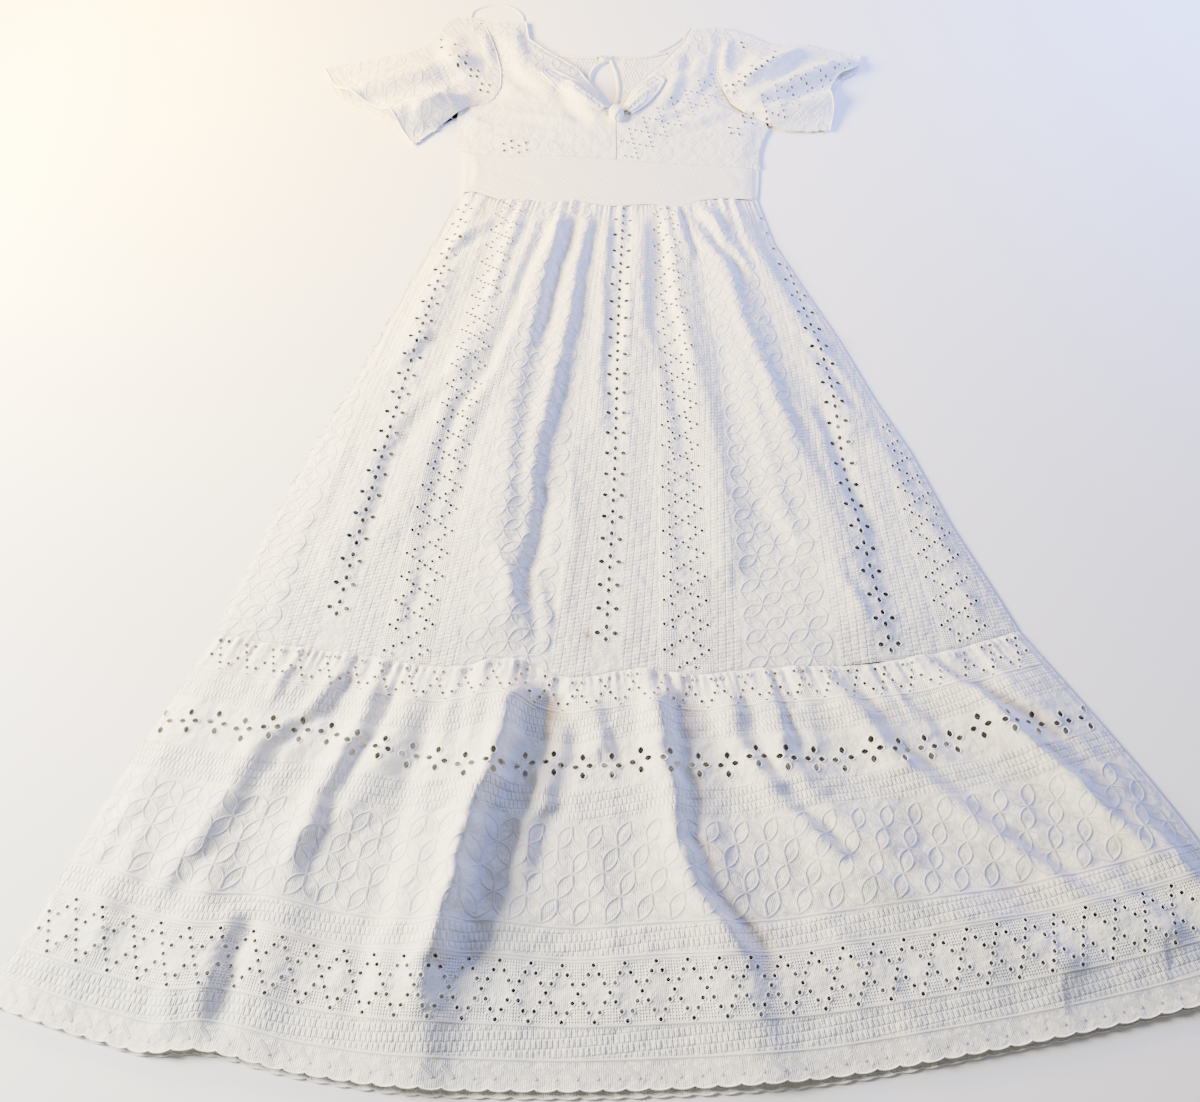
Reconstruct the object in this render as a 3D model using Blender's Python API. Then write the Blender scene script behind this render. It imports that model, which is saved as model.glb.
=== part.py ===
"""A maxi dress laid flat on its back, front upwards, as separate sewn pieces.

Millimetres in the tables, metres in the scene. +X is the picture's right, +Y runs from the hem
towards the neck, +Z is up, and the floor is z = 0. The back pieces lie flat on the floor. The front
pieces lie on them, lifted by their own gathers and folds.
"""

import math
from collections import namedtuple

import bmesh
import bpy
import numpy as np
from mathutils import Matrix, Vector

MM = 0.001

# Cloth thicknesses and clearances
BACK_WALL = 1.2
FRONT_WALL = 1.5
CLEARANCE = 0.3
HALF_SEAM = 0.2
REST = BACK_WALL + CLEARANCE
FACET_SLACK = 0.4

# How far a front piece stands off the back one, away from its edges
SKIRT_PUFF = 4.0
RUFFLE_PUFF = 5.0
BODICE_PUFF = 3.0
WAISTBAND_PUFF = 2.0
SEAM_SHARE = 0.35
SIDE_FALL = 34.0
SEAM_FALL = 45.0

# Gathers sewn into the waist seam and the tier seam
GATHERS = 24
SEAM_COLUMNS = 4 * GATHERS
PANEL_COLUMNS = 40
BACK_COLUMNS = GATHERS
WAIST_GATHER_HEIGHT = 2.6
WAIST_GATHER_LENGTH = 48.0
TIER_GATHER_HEIGHT = 3.4
TIER_GATHER_LENGTH = 44.0

# Scalloped hem
SCALLOPS = 40
SCALLOP_COLUMNS = 3 * SCALLOPS
SCALLOP_DEPTH = 3.0
BACK_HEM_DROP = 5.0

# Eyelet clusters: four diamond holes round a centre
CLUSTER_PITCH = 25.4
CLUSTER_ACROSS = 8.3
CLUSTER_ALONG = 6.2
EYELET_HALF = 2.7
CUTTER_HEIGHT = 120.0

Side = namedtuple("Side", "y left right")
Spot = namedtuple("Spot", "x y")
Fold = namedtuple("Fold", "path height left right")

# Middle of the laid-out dress in the tables' own axes; it becomes the origin
PLAN_CENTRE = Spot(5.5, 9.863)

# Outer edges of the dress at heights up the skirt, bodice and waistband
WAISTBAND_SIDES = (
    Side(390.0, -205.0, 161.0),
    Side(355.0, -201.0, 159.0),
    Side(300.0, -200.0, 155.0),
)
SKIRT_SIDES = (
    Side(302.0, -200.0, 155.0),
    Side(234.0, -222.0, 169.0),
    Side(160.0, -250.0, 199.0),
    Side(87.0, -274.0, 230.0),
    Side(6.0, -303.0, 259.0),
    Side(-60.0, -330.0, 287.0),
    Side(-150.0, -360.0, 316.0),
    Side(-230.0, -384.0, 348.0),
    Side(-265.0, -391.0, 361.0),
)
# The ruffle's own edges, from the tier seam to the hem
RUFFLE_LEFT = (
    Spot(-391.0, -266.0),
    Spot(-427.0, -344.0),
    Spot(-464.0, -431.0),
    Spot(-490.0, -505.0),
    Spot(-523.0, -587.0),
)
RUFFLE_RIGHT = (
    Spot(361.0, -263.0),
    Spot(409.0, -340.0),
    Spot(459.0, -425.0),
    Spot(496.0, -498.0),
    Spot(534.0, -568.0),
)

# Seams that run across the dress
WAISTBAND_TOP = (
    Spot(-205.0, 389.0),
    Spot(-178.0, 381.0),
    Spot(-150.0, 377.0),
    Spot(-85.0, 378.0),
    Spot(10.0, 369.0),
    Spot(93.0, 362.0),
    Spot(161.0, 355.0),
)
WAIST_SEAM = (
    Spot(-200.0, 314.0),
    Spot(-184.0, 315.0),
    Spot(-155.0, 303.0),
    Spot(-120.0, 301.0),
    Spot(-89.0, 296.0),
    Spot(-58.0, 298.0),
    Spot(-20.0, 291.0),
    Spot(33.0, 293.0),
    Spot(60.0, 288.0),
    Spot(90.0, 300.0),
    Spot(155.0, 302.0),
)
TIER_SEAM = (
    Spot(-391.0, -266.0),
    Spot(-330.0, -278.0),
    Spot(-255.0, -288.0),
    Spot(-165.0, -301.0),
    Spot(-120.0, -293.0),
    Spot(-55.0, -311.0),
    Spot(0.0, -303.0),
    Spot(60.0, -308.0),
    Spot(115.0, -302.0),
    Spot(196.0, -299.0),
    Spot(275.0, -288.0),
    Spot(361.0, -263.0),
)
HEM = (
    Spot(-523.0, -587.0),
    Spot(-426.0, -615.0),
    Spot(-384.0, -624.0),
    Spot(-350.0, -622.0),
    Spot(-273.0, -637.0),
    Spot(-200.0, -647.0),
    Spot(-90.0, -651.0),
    Spot(30.0, -649.0),
    Spot(140.0, -642.0),
    Spot(256.0, -625.0),
    Spot(394.0, -600.0),
    Spot(534.0, -568.0),
)

# Bodice outlines: for each height, the armhole or side edge and the neck edge
BODICE_LEFT_SIDES = (
    Side(636.0, -187.0, -131.0),
    Side(600.0, -176.0, -126.0),
    Side(570.0, -167.0, -97.0),
    Side(536.0, -160.0, -60.0),
    Side(505.0, -159.0, -43.0),
    Side(482.0, -167.0, -30.0),
    Side(472.0, -176.0, -24.0),
    Side(464.0, -211.0, -18.0),
    Side(450.0, -211.0, -12.5),
    Side(420.0, -209.0, -12.5),
    Side(390.0, -207.0, -12.5),
    Side(378.0, -205.0, -12.5),
)
BODICE_RIGHT_SIDES = (
    Side(622.0, 88.0, 138.0),
    Side(592.0, 76.0, 130.0),
    Side(570.0, 61.0, 124.0),
    Side(546.0, 47.0, 121.0),
    Side(526.0, 29.0, 120.0),
    Side(495.0, 6.0, 125.0),
    Side(470.0, -4.0, 134.0),
    Side(456.0, -9.0, 148.0),
    Side(448.0, -11.5, 173.0),
    Side(426.0, -11.5, 178.0),
    Side(408.0, -11.5, 170.0),
    Side(385.0, -11.5, 163.0),
    Side(358.0, -11.5, 161.0),
)
BACK_NECK = (
    Spot(-131.0, 633.0),
    Spot(-126.0, 600.0),
    Spot(-115.0, 584.0),
    Spot(-90.0, 572.0),
    Spot(-50.0, 568.0),
    Spot(-21.5, 567.0),
)
BACK_NECK_RIGHT = (
    Spot(-18.5, 567.0),
    Spot(31.0, 570.0),
    Spot(56.0, 577.0),
    Spot(74.0, 592.0),
    Spot(84.0, 606.0),
    Spot(88.0, 622.0),
)
# Teardrop opening below the neck's fastening, from its narrow top to its round end
KEYHOLE_SIDES = (
    Side(560.0, -27.0, -15.0),
    Side(550.0, -39.5, -12.0),
    Side(537.0, -46.5, -8.5),
    Side(521.0, -49.5, -6.0),
    Side(504.0, -49.5, -5.0),
    Side(487.0, -46.0, -6.0),
    Side(472.0, -39.5, -9.5),
    Side(462.0, -32.0, -15.0),
    Side(457.0, -26.0, -20.0),
)
KEYHOLE_CENTRE = Spot(-20.0, 497.0)
# The front is held up over the keyhole's binding
KEYHOLE_LIFT = 1.7
KEYHOLE_REACH = 80.0

# Sleeve outlines, top fold edge, cuff and underarm
SLEEVE_LEFT_ARMHOLE = tuple(Spot(row.left, row.y) for row in BODICE_LEFT_SIDES[:8])
SLEEVE_LEFT_TOP = (
    Spot(-187.0, 636.0),
    Spot(-204.0, 645.0),
    Spot(-230.0, 641.0),
    Spot(-242.0, 617.0),
    Spot(-258.0, 589.0),
    Spot(-331.0, 557.0),
    Spot(-389.0, 541.0),
)
SLEEVE_LEFT_CUFF = (
    Spot(-389.0, 541.0),
    Spot(-361.0, 492.0),
    Spot(-338.0, 477.0),
    Spot(-316.0, 464.0),
    Spot(-292.0, 438.0),
    Spot(-261.0, 398.0),
)
SLEEVE_LEFT_UNDERARM = (
    Spot(-211.0, 464.0),
    Spot(-233.0, 430.0),
    Spot(-261.0, 398.0),
)
SLEEVE_RIGHT_ARMHOLE = tuple(Spot(row.right, row.y) for row in BODICE_RIGHT_SIDES[:9])
SLEEVE_RIGHT_TOP = (
    Spot(138.0, 622.0),
    Spot(160.0, 611.0),
    Spot(192.0, 590.0),
    Spot(232.0, 591.0),
    Spot(262.0, 579.0),
    Spot(309.0, 567.0),
)
SLEEVE_RIGHT_CUFF = (
    Spot(309.0, 567.0),
    Spot(298.0, 538.0),
    Spot(272.0, 520.0),
    Spot(260.0, 492.0),
    Spot(262.0, 462.0),
    Spot(254.0, 423.0),
)
SLEEVE_RIGHT_UNDERARM = (
    Spot(173.0, 448.0),
    Spot(186.0, 430.0),
    Spot(254.0, 423.0),
)
# The back of each cuff lies a little beyond its front
BACK_CUFF_SHOW = 6.0

# Folds: crest line, crest height, and how far the cloth falls away on each side of it
SKIRT_FOLDS = (
    Fold(((-79, 290), (-105, 148), (-127, -3), (-128, -144), (-120, -300)), 9.0, 40.0, 17.0),
    Fold(((-41, 290), (-58, 195), (-85, 3), (-93, -97)), 6.0, 26.0, 15.0),
    Fold(((-21, 284), (-26, 148), (-34, -23)), 3.0, 14.0, 12.0),
    Fold(((22, 284), (15, 215), (8, 53)), 3.5, 14.0, 12.0),
    Fold(((53, 284), (66, 115), (84, -48), (94, -189)), 5.5, 22.0, 16.0),
    Fold(((86, 286), (126, 132), (165, -35), (210, -189), (229, -285)), 8.0, 34.0, 17.0),
    Fold(((-126, 290), (-144, 157), (-190, -3), (-230, -144)), 5.0, 24.0, 18.0),
    Fold(((-179, 300), (-222, 142), (-256, -23), (-292, -200)), 4.0, 18.0, 22.0),
    Fold(((133, 290), (183, 113), (227, -35)), 3.5, 18.0, 14.0),
)
RUFFLE_FOLDS = (
    Fold(((-308, -285), (-362, -486), (-352, -625)), 8.0, 34.0, 20.0),
    Fold(((-177, -300), (-225, -390), (-285, -469), (-305, -625)), 7.0, 30.0, 22.0),
    Fold(((-122, -296), (-129, -390), (-152, -510), (-174, -645)), 15.0, 48.0, 20.0),
    Fold(((-46, -312), (-32, -377)), 6.0, 14.0, 10.0),
    Fold(((18, -306), (37, -426), (66, -526), (98, -640)), 9.0, 34.0, 20.0),
    Fold(((82, -308), (152, -438), (252, -509), (337, -561)), 9.0, 30.0, 22.0),
    Fold(((262, -290), (351, -374), (480, -505)), 11.0, 24.0, 12.0),
    Fold(((160, -302), (245, -384), (362, -484), (424, -534)), 7.0, 26.0, 18.0),
    Fold(((-262, -288), (-285, -334), (-318, -417)), 4.0, 16.0, 14.0),
)
BODICE_FOLDS = (
    Fold(((-159, 500), (-82, 470), (-26, 445)), 4.0, 16.0, 16.0),
    Fold(((-153, 594), (-109, 524), (-50, 468)), 3.5, 18.0, 18.0),
    Fold(((118, 554), (70, 495), (6, 440)), 4.0, 16.0, 16.0),
    Fold(((137, 448), (81, 440), (16, 430)), 3.0, 14.0, 14.0),
)
SLEEVE_LEFT_FOLDS = (
    Fold(((-181, 560), (-192, 610), (-208, 632)), 7.0, 10.0, 9.0),
    Fold(((-205, 548), (-289, 508), (-352, 478)), 13.0, 20.0, 16.0),
    Fold(((-225, 462), (-268, 446), (-305, 428)), 22.0, 22.0, 20.0),
)
SLEEVE_RIGHT_FOLDS = (
    Fold(((134, 596), (128, 560), (136, 500)), 6.0, 9.0, 10.0),
    Fold(((141, 493), (176, 528), (222, 572)), 13.0, 15.0, 14.0),
    Fold(((156, 468), (206, 502), (285, 545)), 13.0, 15.0, 14.0),
    Fold(((176, 452), (222, 462), (262, 480)), 9.0, 12.0, 13.0),
)

# Lines that the eyelet clusters are stitched along, on the skirt and round the ruffle
SKIRT_BANDS = (
    (Spot(-201.0, 235.0), Spot(-236.0, 47.0), Spot(-258.0, -97.0), Spot(-281.0, -253.0)),
    (Spot(-6.0, 240.0), Spot(-10.0, 156.0), Spot(-17.0, -88.0), Spot(-27.0, -289.0)),
    (Spot(196.0, 125.0), Spot(210.0, 52.0), Spot(218.0, -96.0), Spot(238.0, -286.0)),
)
RUFFLE_BAND = (
    Spot(-424.0, -354.0),
    Spot(-347.0, -361.0),
    Spot(-259.0, -371.0),
    Spot(-186.0, -392.0),
    Spot(-60.0, -395.0),
    Spot(132.0, -391.0),
    Spot(245.0, -381.0),
    Spot(324.0, -360.0),
    Spot(412.0, -352.0),
)

KNOT = Spot(-12.0, 441.0)
KNOT_HALF_WIDTH = 9.5
KNOT_HALF_LENGTH = 16.0
KNOT_HEIGHT = 11.0
KNOT_RINGS = 8
KNOT_SETTLE = 1.6

TIE_ROWS = 8
TIE_COLUMNS = 4
TIE_CROWN = 4.5
TieEnd = namedtuple("TieEnd", "name start tip half_width")
TIE_ENDS = (
    TieEnd("tie_end_left", Spot(-25.0, 452.0), Spot(-102.0, 524.0), 15.0),
    TieEnd("tie_end_right", Spot(1.0, 447.0), Spot(45.0, 514.0), 14.0),
)

BINDING_WIDTH = 6.0
BINDING_WALL = 1.2
BUTTON_RADIUS = 4.0
BUTTON_HEIGHT = 2.4
BUTTON = Spot(-26.5, 561.0)
CORD_RADIUS = 0.7
LOOP_RADIUS = 5.3
TAPE_WIDTH = 4.5
TAPE_WALL = 1.0
HANGER_LEFT = (
    Spot(-206.0, 647.4),
    Spot(-203.0, 662.0),
    Spot(-189.0, 673.0),
    Spot(-170.0, 676.0),
    Spot(-150.0, 669.0),
    Spot(-138.0, 655.0),
    Spot(-133.6, 634.4),
)
HANGER_RIGHT = (
    Spot(84.4, 621.0),
    Spot(78.5, 609.0),
    Spot(70.0, 598.0),
    Spot(58.0, 587.0),
    Spot(43.0, 576.3),
)

# Colours, linear, and finishes
EYELET_CLOTH = (0.87, 0.86, 0.80, 1.0)
PLAIN_CLOTH = (0.86, 0.85, 0.80, 1.0)
TRIM_CLOTH = (0.84, 0.82, 0.75, 1.0)
BUTTON_COLOUR = (0.80, 0.77, 0.68, 1.0)


def clear_scene():
    """Remove what the file opened with."""
    for item in list(bpy.data.objects):
        bpy.data.objects.remove(item, do_unlink=True)


def new_collection(name):
    """A collection linked to the scene."""
    group = bpy.data.collections.new(name)
    bpy.context.scene.collection.children.link(group)
    return group


def material(name, colour, roughness):
    """A plain cloth or plastic finish."""
    mat = bpy.data.materials.new(name)
    mat.use_nodes = True
    shader = mat.node_tree.nodes["Principled BSDF"]
    shader.inputs["Base Color"].default_value = colour
    shader.inputs["Roughness"].default_value = roughness
    shader.inputs["Metallic"].default_value = 0.0
    return mat


def add_object(name, bm, group, colour, roughness=0.9):
    """Turn a bmesh into a named object with its own material."""
    bmesh.ops.recalc_face_normals(bm, faces=bm.faces)
    mesh = bpy.data.meshes.new(name)
    bm.to_mesh(mesh)
    bm.free()
    item = bpy.data.objects.new(name, mesh)
    mesh.materials.append(material(name + "_cloth", colour, roughness))
    item.location = (-PLAN_CENTRE.x * MM, -PLAN_CENTRE.y * MM, 0.0)
    group.objects.link(item)
    return item


def smoothstep(low, high, value):
    """0 below low, 1 above high, an easy slope between."""
    t = np.clip((value - low) / (high - low), 0.0, 1.0)
    return t * t * (3.0 - 2.0 * t)


def curve_point(points, t):
    """A point on the smooth curve through a short list of places, t from 0 to 1 along it."""
    places = np.array([(p[0], p[1]) for p in points], float)
    steps = np.hypot(*np.diff(places, axis=0).T)
    along = np.concatenate([[0.0], np.cumsum(steps)]) / steps.sum()
    slope = np.gradient(places, along, axis=0)
    index = min(int(np.searchsorted(along, t, side="right")) - 1, len(along) - 2)
    index = max(index, 0)
    span = along[index + 1] - along[index]
    s = (t - along[index]) / span
    start = (2 * s**3 - 3 * s**2 + 1) * places[index] + (s**3 - 2 * s**2 + s) * span * slope[index]
    end = (3 * s**2 - 2 * s**3) * places[index + 1] + (s**3 - s**2) * span * slope[index + 1]
    return start + end


def even_point(points, t):
    """A point on straight runs between places, each run taking an equal share of t."""
    scaled = t * (len(points) - 1)
    index = min(int(scaled + 1e-9), len(points) - 2)
    return Vector(points[index]).lerp(Vector(points[index + 1]), scaled - index)


def seam_height(seam, x):
    """How far up the dress a crosswise seam lies at x."""
    places = np.array(seam, float)
    order = np.argsort(places[:, 0])
    xs = places[order, 0]
    ys = places[order, 1]
    slope = np.gradient(ys, xs)
    index = int(np.clip(np.searchsorted(xs, x, side="right") - 1, 0, len(xs) - 2))
    span = xs[index + 1] - xs[index]
    s = min(max((x - xs[index]) / span, 0.0), 1.0)
    start = (2 * s**3 - 3 * s**2 + 1) * ys[index] + (s**3 - 2 * s**2 + s) * span * slope[index]
    end = (3 * s**2 - 2 * s**3) * ys[index + 1] + (s**3 - s**2) * span * slope[index + 1]
    return start + end


def side_at(sides, y):
    """The left and right edge of a piece at a height up the dress."""
    rows = sorted(sides, key=lambda row: row.y)
    ys = [row.y for row in rows]
    left = float(np.interp(y, ys, [row.left for row in rows]))
    right = float(np.interp(y, ys, [row.right for row in rows]))
    return left, right


def fold_height(folds, x, y):
    """Rise of the cloth at a place, summed over the folds near it."""
    rise = 0.0
    for fold in folds:
        best = None
        total = sum(math.dist(a, b) for a, b in zip(fold.path, fold.path[1:]))
        passed = 0.0
        for a, b in zip(fold.path, fold.path[1:]):
            length = math.dist(a, b)
            ux = (b[0] - a[0]) / length
            uy = (b[1] - a[1]) / length
            along = min(max((x - a[0]) * ux + (y - a[1]) * uy, 0.0), length)
            dx = x - a[0] - ux * along
            dy = y - a[1] - uy * along
            distance = math.hypot(dx, dy)
            if best is None or distance < best[0]:
                best = (distance, dx, (passed + along) / total)
            passed += length
        distance, dx, share = best
        width = fold.left if dx < 0 else fold.right
        fade = 0.55 + 0.45 * math.sin(math.pi * min(share + 0.25, 1.0) / 1.25)
        rise += fold.height * fade * math.exp(-((distance / width) ** 2))
    return rise


def gather_height(u, distance, height, length):
    """Rise of the gathers that leave a seam: uneven in depth, length and spacing."""
    phase = 2.0 * math.pi * (GATHERS * u + 0.22 * math.sin(14.5 * u + 0.5))
    depth = 0.55 + 0.45 * math.sin(35.8 * u + 1.0)
    reach = length * (0.75 + 0.5 * math.sin(27.0 * u + 2.0) ** 2)
    return height * depth * (0.5 + 0.5 * math.sin(phase)) * math.exp(-distance / reach)


def side_share(sides, x, y, fall=SIDE_FALL):
    """0 at the side seams and 1 a hand's breadth inside them."""
    left, right = side_at(sides, y)
    return float(smoothstep(0.0, fall, min(x - left, right - x)))


def seam_share(distance):
    """How much of the puff a seam leaves, growing with the distance from it."""
    return SEAM_SHARE + (1.0 - SEAM_SHARE) * float(smoothstep(0.0, SEAM_FALL, distance))


def place_between(sides, top, bottom, u, v):
    """A place on a piece bounded by two crosswise seams: u across, v down."""
    top_left, top_right = side_at(sides, sides[0].y)
    low_left, low_right = side_at(sides, sides[-1].y)
    y_top = seam_height(top, top_left + (top_right - top_left) * u)
    y_low = seam_height(bottom, low_left + (low_right - low_left) * u)
    left, right = side_at(sides, sides[0].y + (sides[-1].y - sides[0].y) * v)
    return left + (right - left) * u, y_top + (y_low - y_top) * v


def skirt_place(u, v):
    """A place on the upper skirt."""
    return place_between(SKIRT_SIDES, WAIST_SEAM, TIER_SEAM, u, v)


def skirt_rise(u, v):
    """Underside of the front skirt above the floor."""
    x, y = skirt_place(u, v)
    from_waist = max(skirt_place(u, 0.0)[1] - y, 0.0)
    from_tier = max(y - skirt_place(u, 1.0)[1], 0.0)
    share = seam_share(from_waist) * seam_share(from_tier)
    puff = side_share(SKIRT_SIDES, x, y) * share * (SKIRT_PUFF + fold_height(SKIRT_FOLDS, x, y))
    gathers = gather_height(u, from_waist, WAIST_GATHER_HEIGHT, WAIST_GATHER_LENGTH)
    return REST + puff + gathers


def ruffle_place(u, v):
    """A place on the ruffle: straight down from the tier seam, bowed with its side edges."""
    top = Vector(place_between(SKIRT_SIDES, WAIST_SEAM, TIER_SEAM, u, 1.0))
    hem_x = HEM[0].x + (HEM[-1].x - HEM[0].x) * u
    low = Vector((hem_x, seam_height(HEM, hem_x)))
    left_bow = Vector(curve_point(RUFFLE_LEFT, v)) - Vector(RUFFLE_LEFT[0]).lerp(
        Vector(RUFFLE_LEFT[-1]), v
    )
    right_bow = Vector(curve_point(RUFFLE_RIGHT, v)) - Vector(RUFFLE_RIGHT[0]).lerp(
        Vector(RUFFLE_RIGHT[-1]), v
    )
    spot = top.lerp(low, v) + left_bow.lerp(right_bow, u)
    return spot.x, spot.y


def ruffle_rise(u, v):
    """Underside of the front ruffle above the floor."""
    x, y = ruffle_place(u, v)
    from_seam = max(ruffle_place(u, 0.0)[1] - y, 0.0)
    left_x = ruffle_place(0.0, v)[0]
    right_x = ruffle_place(1.0, v)[0]
    side = float(smoothstep(0.0, SIDE_FALL, min(x - left_x, right_x - x)))
    hem = 1.0 - 0.55 * float(smoothstep(0.8, 1.0, v))
    puff = side * seam_share(from_seam) * hem * (RUFFLE_PUFF + fold_height(RUFFLE_FOLDS, x, y))
    gathers = gather_height(u + 0.013, from_seam, TIER_GATHER_HEIGHT, TIER_GATHER_LENGTH)
    return REST + puff + gathers


def scallop(u):
    """How far the hem's edge drops at u, in rounded scallops."""
    return SCALLOP_DEPTH * abs(math.sin(math.pi * SCALLOPS * u))


def band_place(u, v):
    """A place on the waistband."""
    return place_between(WAISTBAND_SIDES, WAISTBAND_TOP, WAIST_SEAM, u, v)


def band_rise(u, v):
    """Underside of the front waistband above the floor."""
    x, y = band_place(u, v)
    middle = math.sin(math.pi * v)
    side = side_share(WAISTBAND_SIDES, x, y, 20.0)
    ripple = 0.5 * math.sin(9.0 * u + 2.0 * v) * middle
    return REST + side * (SEAM_SHARE * SKIRT_PUFF + (WAISTBAND_PUFF + ripple) * middle * 0.5)


def bodice_rise(x, y):
    """Underside of the front bodice above the floor, the same for both halves."""
    if x < KNOT.x:
        sides = BODICE_LEFT_SIDES
        left, right = side_at(sides, y)
        inner = right
        outer = left
    else:
        sides = BODICE_RIGHT_SIDES
        left, right = side_at(sides, y)
        inner = left
        outer = right
    from_outer = float(smoothstep(0.0, 24.0, abs(x - outer)))
    neck = 1.0 if y < KNOT.y else float(smoothstep(-4.0, 14.0, abs(x - inner)))
    seam = seam_share(max(y - seam_height(WAISTBAND_TOP, x), 0.0) * 2.0)
    shoulder = 1.0 - float(smoothstep(585.0, 640.0, y)) * 0.8
    away = math.dist((x, y), KEYHOLE_CENTRE)
    lift = KEYHOLE_LIFT * (1.0 - float(smoothstep(KEYHOLE_REACH, KEYHOLE_REACH + 40.0, away)))
    drape = BODICE_PUFF + fold_height(BODICE_FOLDS, x, y)
    return REST + lift + from_outer * neck * seam * shoulder * drape


def coons_place(armhole, top, cuff, underarm, u, v):
    """A place inside four joined edges: u from the top edge to the underarm, v to the cuff."""
    start = even_point(armhole, u)
    end = Vector(curve_point(cuff, u))
    upper = Vector(curve_point(top, v))
    lower = Vector(curve_point(underarm, v))
    corner_a = Vector(armhole[0]).lerp(Vector(armhole[-1]), u)
    corner_b = Vector(cuff[0]).lerp(Vector(cuff[-1]), u)
    spot = start.lerp(end, v) + upper.lerp(lower, u) - corner_a.lerp(corner_b, v)
    return spot.x, spot.y


def sleeve_rise(edges, folds, u, v):
    """Underside of a front sleeve above the floor: low at its folded edges, waved at the cuff."""
    x, y = coons_place(*edges, u, v)
    edge = float(smoothstep(0.0, 0.22, min(u, 1.0 - u)))
    root = 0.3 + 0.7 * float(smoothstep(0.0, 0.35, v))
    return REST + edge * (BODICE_PUFF * root + fold_height(folds, x, y) * max(root, 0.6))


def add_rows(bm, rows):
    """Skin neighbouring rows of points, also where their numbers differ."""
    for upper, lower in zip(rows, rows[1:]):
        i = 0
        j = 0
        while i < len(upper) - 1 or j < len(lower) - 1:
            next_i = (i + 1) / (len(upper) - 1)
            next_j = (j + 1) / (len(lower) - 1)
            if abs(next_i - next_j) < 1e-9:
                bm.faces.new((upper[i], lower[j], lower[j + 1], upper[i + 1]))
                i += 1
                j += 1
            elif next_i < next_j:
                bm.faces.new((upper[i], lower[j], upper[i + 1]))
                i += 1
            else:
                bm.faces.new((upper[i], lower[j], lower[j + 1]))
                j += 1


def thicken(bm, wall):
    """Give an open sheet its thickness straight up, so that its edges stay plumb."""
    grown = bmesh.ops.extrude_face_region(bm, geom=bm.faces[:], use_keep_orig=True)
    raised = [v for v in grown["geom"] if isinstance(v, bmesh.types.BMVert)]
    bmesh.ops.translate(bm, verts=raised, vec=(0.0, 0.0, wall * MM))


def cloth_piece(name, rows, point, wall, group, colour):
    """A waved piece of cloth from rows of (v, columns) and a function for its underside."""
    bm = bmesh.new()
    lines = []
    for v, columns in rows:
        line = [bm.verts.new(Vector(point(i / columns, v)) * MM) for i in range(columns + 1)]
        lines.append(line)
    add_rows(bm, lines)
    thicken(bm, wall)
    return add_object(name, bm, group, colour)


def flat_piece(name, outline, base, wall, group, colour):
    """A flat piece of cloth with the given outline, lying at a height."""
    bm = bmesh.new()
    bm.faces.new([bm.verts.new(Vector((x, y, base)) * MM) for x, y in outline])
    thicken(bm, wall)
    return add_object(name, bm, group, colour)


def grid_rows(stops, columns):
    """Rows with the same number of columns."""
    return [(v, columns) for v in stops]


def build_skirt(group):
    """The gathered front skirt and the flat back skirt."""
    steps = (0.16, 0.27, 0.39, 0.51, 0.63, 0.75, 0.86, 0.95)
    rows = grid_rows((0.0, 0.06), SEAM_COLUMNS) + grid_rows(steps, PANEL_COLUMNS)
    rows += grid_rows((1.0,), SEAM_COLUMNS)

    def point(u, v):
        x, y = skirt_place(u, v)
        return x, y + HALF_SEAM * (2.0 * v - 1.0), skirt_rise(u, v)

    front = cloth_piece("front_skirt", rows, point, FRONT_WALL, group, EYELET_CLOTH)
    outline = [skirt_place(i / BACK_COLUMNS, 0.0) for i in range(BACK_COLUMNS + 1)]
    outline = [(x, y - HALF_SEAM) for x, y in outline]
    outline += [skirt_place(1.0, v) for v in steps]
    lower = [skirt_place(1.0 - i / BACK_COLUMNS, 1.0) for i in range(BACK_COLUMNS + 1)]
    outline += [(x, y + HALF_SEAM) for x, y in lower]
    outline += [skirt_place(0.0, v) for v in reversed(steps)]
    flat_piece("back_skirt", outline, 0.0, BACK_WALL, group, EYELET_CLOTH)
    return front


def build_ruffle(group):
    """The gathered front ruffle and the flat back ruffle, both with scalloped hems."""
    rows = grid_rows((0.0, 0.08), SEAM_COLUMNS)
    steps = (0.19, 0.31, 0.43, 0.55, 0.68, 0.81, 0.93)
    rows += grid_rows(steps, PANEL_COLUMNS) + grid_rows((1.0,), SCALLOP_COLUMNS)

    def point(u, v):
        x, y = ruffle_place(u, v)
        drop = HALF_SEAM * (1.0 - v)
        if v == 1.0:
            drop += scallop(u)
        return x, y - drop, ruffle_rise(u, v)

    front = cloth_piece("front_ruffle", rows, point, FRONT_WALL, group, EYELET_CLOTH)
    upper = [ruffle_place(i / BACK_COLUMNS, 0.0) for i in range(BACK_COLUMNS + 1)]
    outline = [(x, y - HALF_SEAM) for x, y in upper]
    outline += [ruffle_place(1.0, v) for v in steps]
    hem = []
    for i in range(SCALLOP_COLUMNS + 1):
        u = 1.0 - i / SCALLOP_COLUMNS
        x, y = ruffle_place(u, 1.0)
        hem.append((x, y - scallop(u) - BACK_HEM_DROP * math.sin(math.pi * u)))
    outline += hem
    outline += [ruffle_place(0.0, v) for v in reversed(steps)]
    flat_piece("back_ruffle", outline, 0.0, BACK_WALL, group, EYELET_CLOTH)
    return front


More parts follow.
